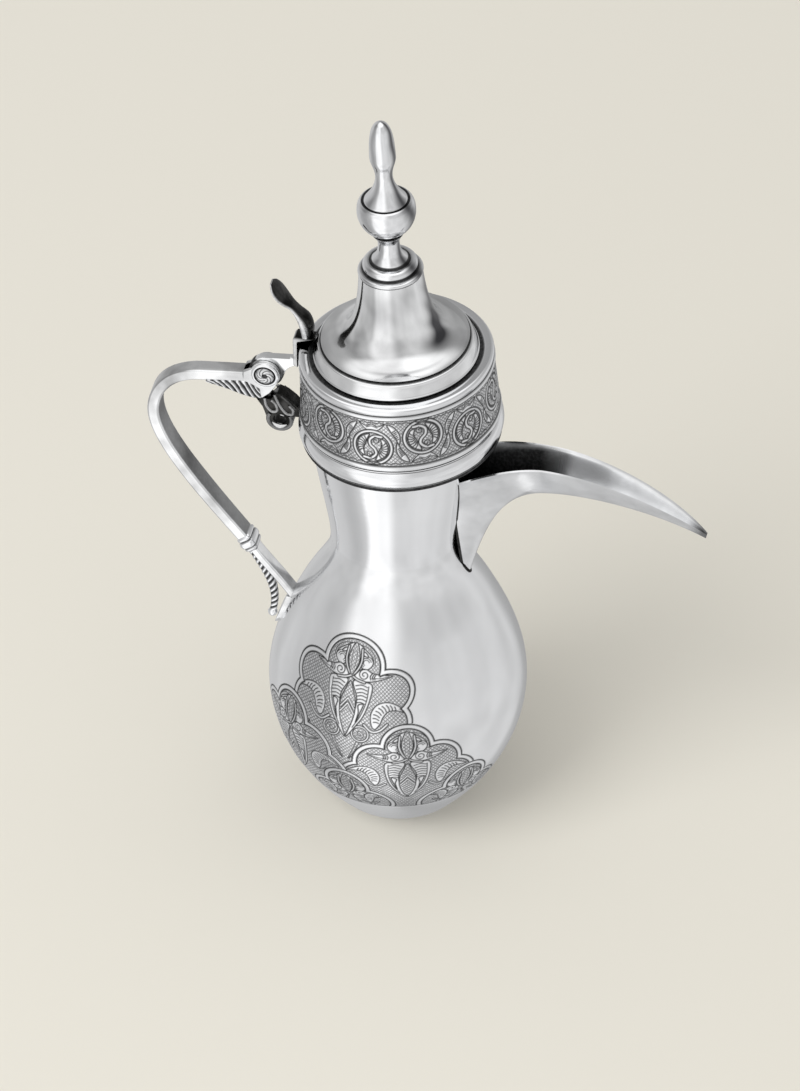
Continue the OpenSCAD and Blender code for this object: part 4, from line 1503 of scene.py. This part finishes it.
def make_wing(name, side):
    """Feathered relief on the outer face of one cheek."""
    upper = spline(from_pin([(21.5, -5.8), (14, -4.6), (8.4, -3.9),
                             (5.4, -4.6), (2.2, -6.6)]), 0.2)
    lower = spline(from_pin([(21.5, -6.3), (14.5, -8.2), (8.5, -10.2),
                             (4.4, -11.0), (1.6, -10.6)]), 0.2)
    n, m = 110, 25
    upper = upper[np.linspace(0, len(upper) - 1, n).astype(int)]
    lower = lower[np.linspace(0, len(lower) - 1, n).astype(int)]
    u, v = np.meshgrid(np.linspace(0, 1, n), np.linspace(0, 1, m),
                       indexing="ij")
    p = upper[:, None] * (1 - v[..., None]) + lower[:, None] * v[..., None]
    phase = (u * 8.0 + (1 - v) * 1.6) % 1.0
    groove = np.clip(1.5 * (1 - np.abs(phase - 0.5) / 0.40), 0, 1)
    edge = np.clip(np.minimum(v, 1 - v) / 0.12, 0, 1)
    height = 0.15 + 0.62 * np.sqrt(edge) - 0.5 * groove * edge
    y = side * (3.0 + height)
    front = np.stack([p[..., 0], y, p[..., 1]], -1)
    back = np.stack([p[..., 0], np.full(u.shape, side * 2.9),
                     p[..., 1]], -1)
    points = np.vstack([front.reshape(-1, 3), back.reshape(-1, 3)])
    ids = np.arange(n * m).reshape(n, m)
    faces = np.stack([ids[:-1, :-1], ids[:-1, 1:], ids[1:, 1:],
                      ids[1:, :-1]], -1).reshape(-1, 4).tolist()
    other = [[k + n * m for k in reversed(f)] for f in faces]
    rim = np.concatenate([ids[0, :], ids[1:, -1], ids[-1, -2::-1],
                          ids[-2:0:-1, 0]])
    walls = [[int(a), int(b), int(b) + n * m, int(a) + n * m]
             for a, b in zip(rim, np.roll(rim, -1))]
    shade = np.concatenate([(0.98 * groove).ravel(), np.zeros(n * m)])
    make("wing_" + name, points, faces + other + walls, "pot", CHASED,
         values={"patina_and_shade": shade}, smooth_angle=55.0)


make_fork()


def make_bridge():
    shape = from_pin([(7.6, -4.95), (7.8, 0), (6.9, -2.6), (5.2, -5.4),
                      (2.6, -7.6), (-1.5, -9.2), (-1.5, -11.4),
                      (4, -10.8), (13, -8.6), (13, -5.4)])
    plate("fork_block", shape, -1.65, 1.65, 0.25, "pot", DARK,
          ("fork_bridge",))


make_bridge()


def make_rosette(name, side):
    """Round cap of the pin, cut with a whirl of strokes."""
    r = np.concatenate([np.linspace(0.01, 1.0, 8), np.linspace(1.1, 3.4, 24),
                        np.linspace(3.5, 5.0, 18)])
    h = np.interp(r, (0, 0.7, 0.95, 1.3, 2.6, 3.35, 3.6, 3.95, 4.35, 4.9,
                      5.0),
                  (0.75, 0.75, 1.0, 1.3, 1.15, 0.75, 0.45, 0.75, 0.8, 0.5,
                   0.2))
    dark = np.interp(r, (0, 0.85, 1.1, 3.1, 3.4, 3.9, 4.1, 5.0),
                     (0.97, 0.97, 0.1, 0.35, 0.97, 0.97, 0, 0))
    columns = 144
    a = round_turn(columns)
    rr, aa = np.meshgrid(r, a, indexing="ij")
    ray = (aa * 7 / (2 * math.pi) + 0.75 * (rr - 1.2)) % 1.0
    stroke = (np.clip(1.3 * (1 - np.abs(ray - 0.5) / 0.26), 0, 1)
              * ((rr > 1.3) & (rr < 3.2)))
    high = h[:, None] - 0.16 * stroke
    shade = np.maximum(dark[:, None], 0.85 * stroke)
    rows = len(r)
    top = np.stack([-PIN_X + rr * np.cos(aa), side * (CHEEK_OUT + high),
                    PIN_Z + rr * np.sin(aa)], -1)
    base = np.stack([-PIN_X + r[-1] * np.cos(a),
                     np.full(columns, side * CHEEK_OUT),
                     PIN_Z + r[-1] * np.sin(a)], -1)
    points = np.vstack([top.reshape(-1, 3), base])
    shade = np.concatenate([shade.ravel(), np.zeros(columns)])
    faces = ring_faces(rows + 1, columns)
    faces.append(tuple(range(columns)))
    faces.append(tuple(rows * columns + k for k in range(columns)))
    make("rosette_" + name, points, faces, "pot", CHASED,
         ("pin_rosette_" + name,), values={"patina_and_shade": shade},
         smooth_angle=60.0)


for name, side in SIDES:
    make_rosette(name, side)


def make_bracket():
    """Embossed loops and the rubbed bright crescent of the cast bracket, whose
    body is the CAD node itself."""
    eye = (-40.3, 164.6)
    # (path, radius of the rod, how far it is rubbed bright)
    loops = (
        (arc(*eye, 4.2, 30, -215, 44), 0.8, 0.25),
        (spline([(-45.6, 173.6), (-45.0, 170.2), (-43.0, 167.8),
                 (-41.2, 168.6), (-41.6, 171.2), (-43.2, 173.0)], 0.3),
         0.62, 0.55),
        (spline([(-42.0, 175.6), (-40.4, 171.4), (-38.2, 168.0),
                 (-36.0, 167.4), (-35.4, 169.4), (-36.8, 171.4)], 0.3),
         0.62, 0.45),
        (spline([(-39.6, 175.4), (-37.0, 173.0), (-34.6, 170.2)], 0.3),
         0.5, 0.1))
    for name, side in SIDES:
        for k, (path, thick, rubbed) in enumerate(loops):
            line = np.stack([path[:, 0], np.full(len(path), side * 2.65),
                             path[:, 1]], -1)
            tube("loop_%s_%d" % (name, k), line, thick, rubbed)
        count = 30
        path = arc(*eye, 3.2, 205, 325, count)
        line = np.stack([path[:, 0], np.full(count, side * 2.4),
                         path[:, 1]], -1)
        thick = 0.2 + 0.75 * np.sin(np.linspace(0, math.pi, count))
        tube("crescent_" + name, line, thick, 1.0)


make_bracket()


def make_lid_arm():
    """The lever on the pin, the riser beside the collar and the leaf that
    the thumb presses."""
    shape = (arc(-PIN_X, PIN_Z, 6.2, 96, 330, 40).tolist()
             + bezier([(-38.9, 183.0), (-38.4, 186.4), (-36.4, 188.4),
                       (-33.6, 188.9)], 8).tolist()
             + bezier([(-33.6, 192.0), (-36.5, 191.2), (-40.0, 191.4),
                       (-44.9, 190.65)], 12)[:-1].tolist())

    def barrel(p):
        away = np.hypot(p[:, 0] + PIN_X, p[:, 2] - PIN_Z)
        return np.where((away < 6.6) & (p[:, 2] < 189.4), 0.97, 0.0)

    plate("lid_lever", shape, -1.5, 1.5, 0.3, "lid", LID_SILVER,
          ("lid_arm",), {"patina_and_shade": barrel})
    riser = rounded([(-33.3, 188.8, 0.3), (-33.2, 200.2, 0.5),
                     (-27.4, 200.9, 0.3), (-27.2, 202.4, 0.3),
                     (-33.9, 202.7, 0.6), (-34.9, 201.4, 0.8),
                     (-34.9, 189.6, 0.5)])
    plate("lid_riser", riser.tolist(), -2.4, 2.4, 0.3, "lid", DARK, (),
          {"rubbed": lambda p: np.where(
              (p[:, 0] < -34.3) | (p[:, 2] < 191.0), 0.8, 0.0)})
    # (x, z, half width, thickness) along the leaf
    leaf = np.array([
        (-30.6, 202.5, 2.9, 5.4), (-30.6, 203.4, 3.1, 5.6),
        (-30.7, 206.0, 3.7, 6.2), (-31.4, 209.2, 3.9, 5.6),
        (-33.4, 212.4, 3.1, 3.4), (-35.4, 215.0, 3.0, 2.4),
        (-37.7, 217.4, 4.3, 2.2), (-39.8, 219.9, 5.0, 2.0),
        (-41.5, 222.2, 4.2, 1.7), (-42.5, 223.9, 1.9, 1.1)])
    fine = spline(leaf, 0.4)
    line = fine[:, :2]
    a = round_turn(40)
    sections, rub = [], []
    for half_w, thick in fine[:, 2:]:
        across = half_w * np.sign(np.cos(a)) * np.abs(np.cos(a)) ** 0.9
        out = thick / 2 * np.sin(a)
        # the side that the thumb presses is hollow
        hollow = 0.42 * thick * np.clip(1 - (across / half_w) ** 2, 0, 1)
        out = np.where(np.sin(a) > 0, out - hollow * 0.8, out)
        sections.append(np.stack([across, out], -1))
        rub.append(np.clip((np.abs(np.cos(a)) - 0.86) / 0.1, 0, 1))
    sweep("thumb_leaf", along_line(line, sections), "lid", DARK,
          ("thumbpiece",), values={"rubbed": np.concatenate(rub)},
          smooth_angle=60.0)


make_lid_arm()

# --------------------------------------------- CAD pieces that are kept

KEPT = {"neck": SILVER, "foot_ring": SILVER, "base_plate": SILVER,
        "handle_foot": HANDLE_SILVER, "hinge_bracket": DARK,
        "hinge_pin": SILVER, "lid_bezel": SILVER, "finial_stud": SILVER,
        "finial_nut": SILVER, "finial_washer": SILVER}
for node, material in KEPT.items():
    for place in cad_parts[node].material_slots:
        place.material = material

# ----------------------------------------------------- studio and floor


def make_floor():
    """Plain pale paper."""
    mesh = bpy.data.meshes.new("floor")
    size = 2.5
    mesh.from_pydata([(-size, -size, 0), (size, -size, 0), (size, size, 0),
                      (-size, size, 0)], [], [(0, 1, 2, 3)])
    floor = bpy.data.objects.new("floor", mesh)
    SCENE.collection.objects.link(floor)
    material = bpy.data.materials.new("floor_paper")
    material.use_nodes = True
    shader = material.node_tree.nodes["Principled BSDF"]
    shader.inputs["Base Color"].default_value = (0.742, 0.713, 0.635, 1)
    shader.inputs["Roughness"].default_value = 0.95
    shader.inputs["Specular IOR Level"].default_value = 0.1
    mesh.materials.append(material)
    floor.visible_glossy = False


make_floor()


def graded(tree, source, stops, scale=1.0, shift=0.0):
    """Grey levels over values of the source, which runs from 0 to 1. A stop
    is (value, level), and its value is first shifted, then scaled."""
    ramp = tree.nodes.new("ShaderNodeValToRGB")
    ramp.color_ramp.interpolation = "EASE"
    tree.links.new(source, ramp.inputs["Fac"])
    elements = ramp.color_ramp.elements
    while len(elements) < len(stops):
        elements.new(1.0)
    for element, (value, _) in zip(elements, stops):
        element.position = (value + shift) * scale
    for element, (_, level) in zip(elements, stops):
        element.color = (level, level, level, 1)
    return ramp.outputs["Color"]


def make_world():
    """Soft studio surround: a bright panel on the handle's side of the
    front, grey walls and a bright ceiling."""
    world = bpy.data.worlds.new("studio")
    SCENE.world = world
    world.use_nodes = True
    tree = world.node_tree
    place = tree.nodes.new("ShaderNodeTexCoord")
    split = tree.nodes.new("ShaderNodeSeparateXYZ")
    tree.links.new(place.outputs["Generated"], split.inputs["Vector"])
    x, y, z = (split.outputs[k] for k in "XYZ")
    angle = combine(tree, "ARCTAN2", x, combine(tree, "MULTIPLY", y, -1.0))
    turn = spread(tree, angle, -math.pi, math.pi, 0.0, 1.0)
    height = spread(tree, z, -1.0, 1.0, 0.0, 1.0)
    # levels of the wall by angle from the -Y side, low down and high up
    degree = 1 / 360
    low = graded(tree, turn, (
        (-180, 0.40), (-150, 0.56), (-110, 0.60), (-70, 0.56),
        (-48, 0.62), (-34, 1.10), (-4, 1.14), (18, 0.74), (90, 0.70),
        (142, 0.66), (162, 0.46), (180, 0.40)), degree, 180)
    high = graded(tree, turn, (
        (-180, 0.30), (-120, 0.52), (-84, 0.36), (-60, 0.56), (-36, 1.0),
        (-4, 1.05), (22, 0.64), (62, 0.62), (84, 0.57), (122, 0.52),
        (146, 0.48), (180, 0.36)), degree, 180)
    level = mixed(tree, graded(tree, height, ((0.50, 0.0), (0.62, 1.0))),
                  low, high)
    ceiling = graded(tree, height, ((0.84, 0.0), (0.94, 1.0)))
    level = mixed(tree, ceiling, level, (1.15, 1.15, 1.15))
    cloud = tree.nodes.new("ShaderNodeTexNoise")
    cloud.inputs["Scale"].default_value = 2.6
    cloud.inputs["Detail"].default_value = 2.0
    tree.links.new(place.outputs["Generated"], cloud.inputs["Vector"])
    soft = spread(tree, cloud.outputs["Fac"], 0.3, 0.7, 0.9, 1.08)
    product = tree.nodes.new("ShaderNodeVectorMath")
    product.operation = "SCALE"
    tree.links.new(level, product.inputs[0])
    tree.links.new(soft, product.inputs["Scale"])
    background = tree.nodes["Background"]
    tree.links.new(product.outputs["Vector"], background.inputs["Color"])


make_world()


def make_light(place, target, size, power):
    """Soft key light; the metal mirrors only the surround."""
    data = bpy.data.lights.new("key", "AREA")
    data.size = size
    data.energy = power
    lamp = bpy.data.objects.new("key", data)
    SCENE.collection.objects.link(lamp)
    lamp.location = place
    lamp.rotation_euler = (Vector(target) - Vector(place)).to_track_quat(
        "-Z", "Y").to_euler()
    lamp.visible_glossy = False


make_light((-1.1, -1.3, 1.9), (0, 0, 0.1), 1.4, 26)

SCENE.view_settings.view_transform = "Standard"
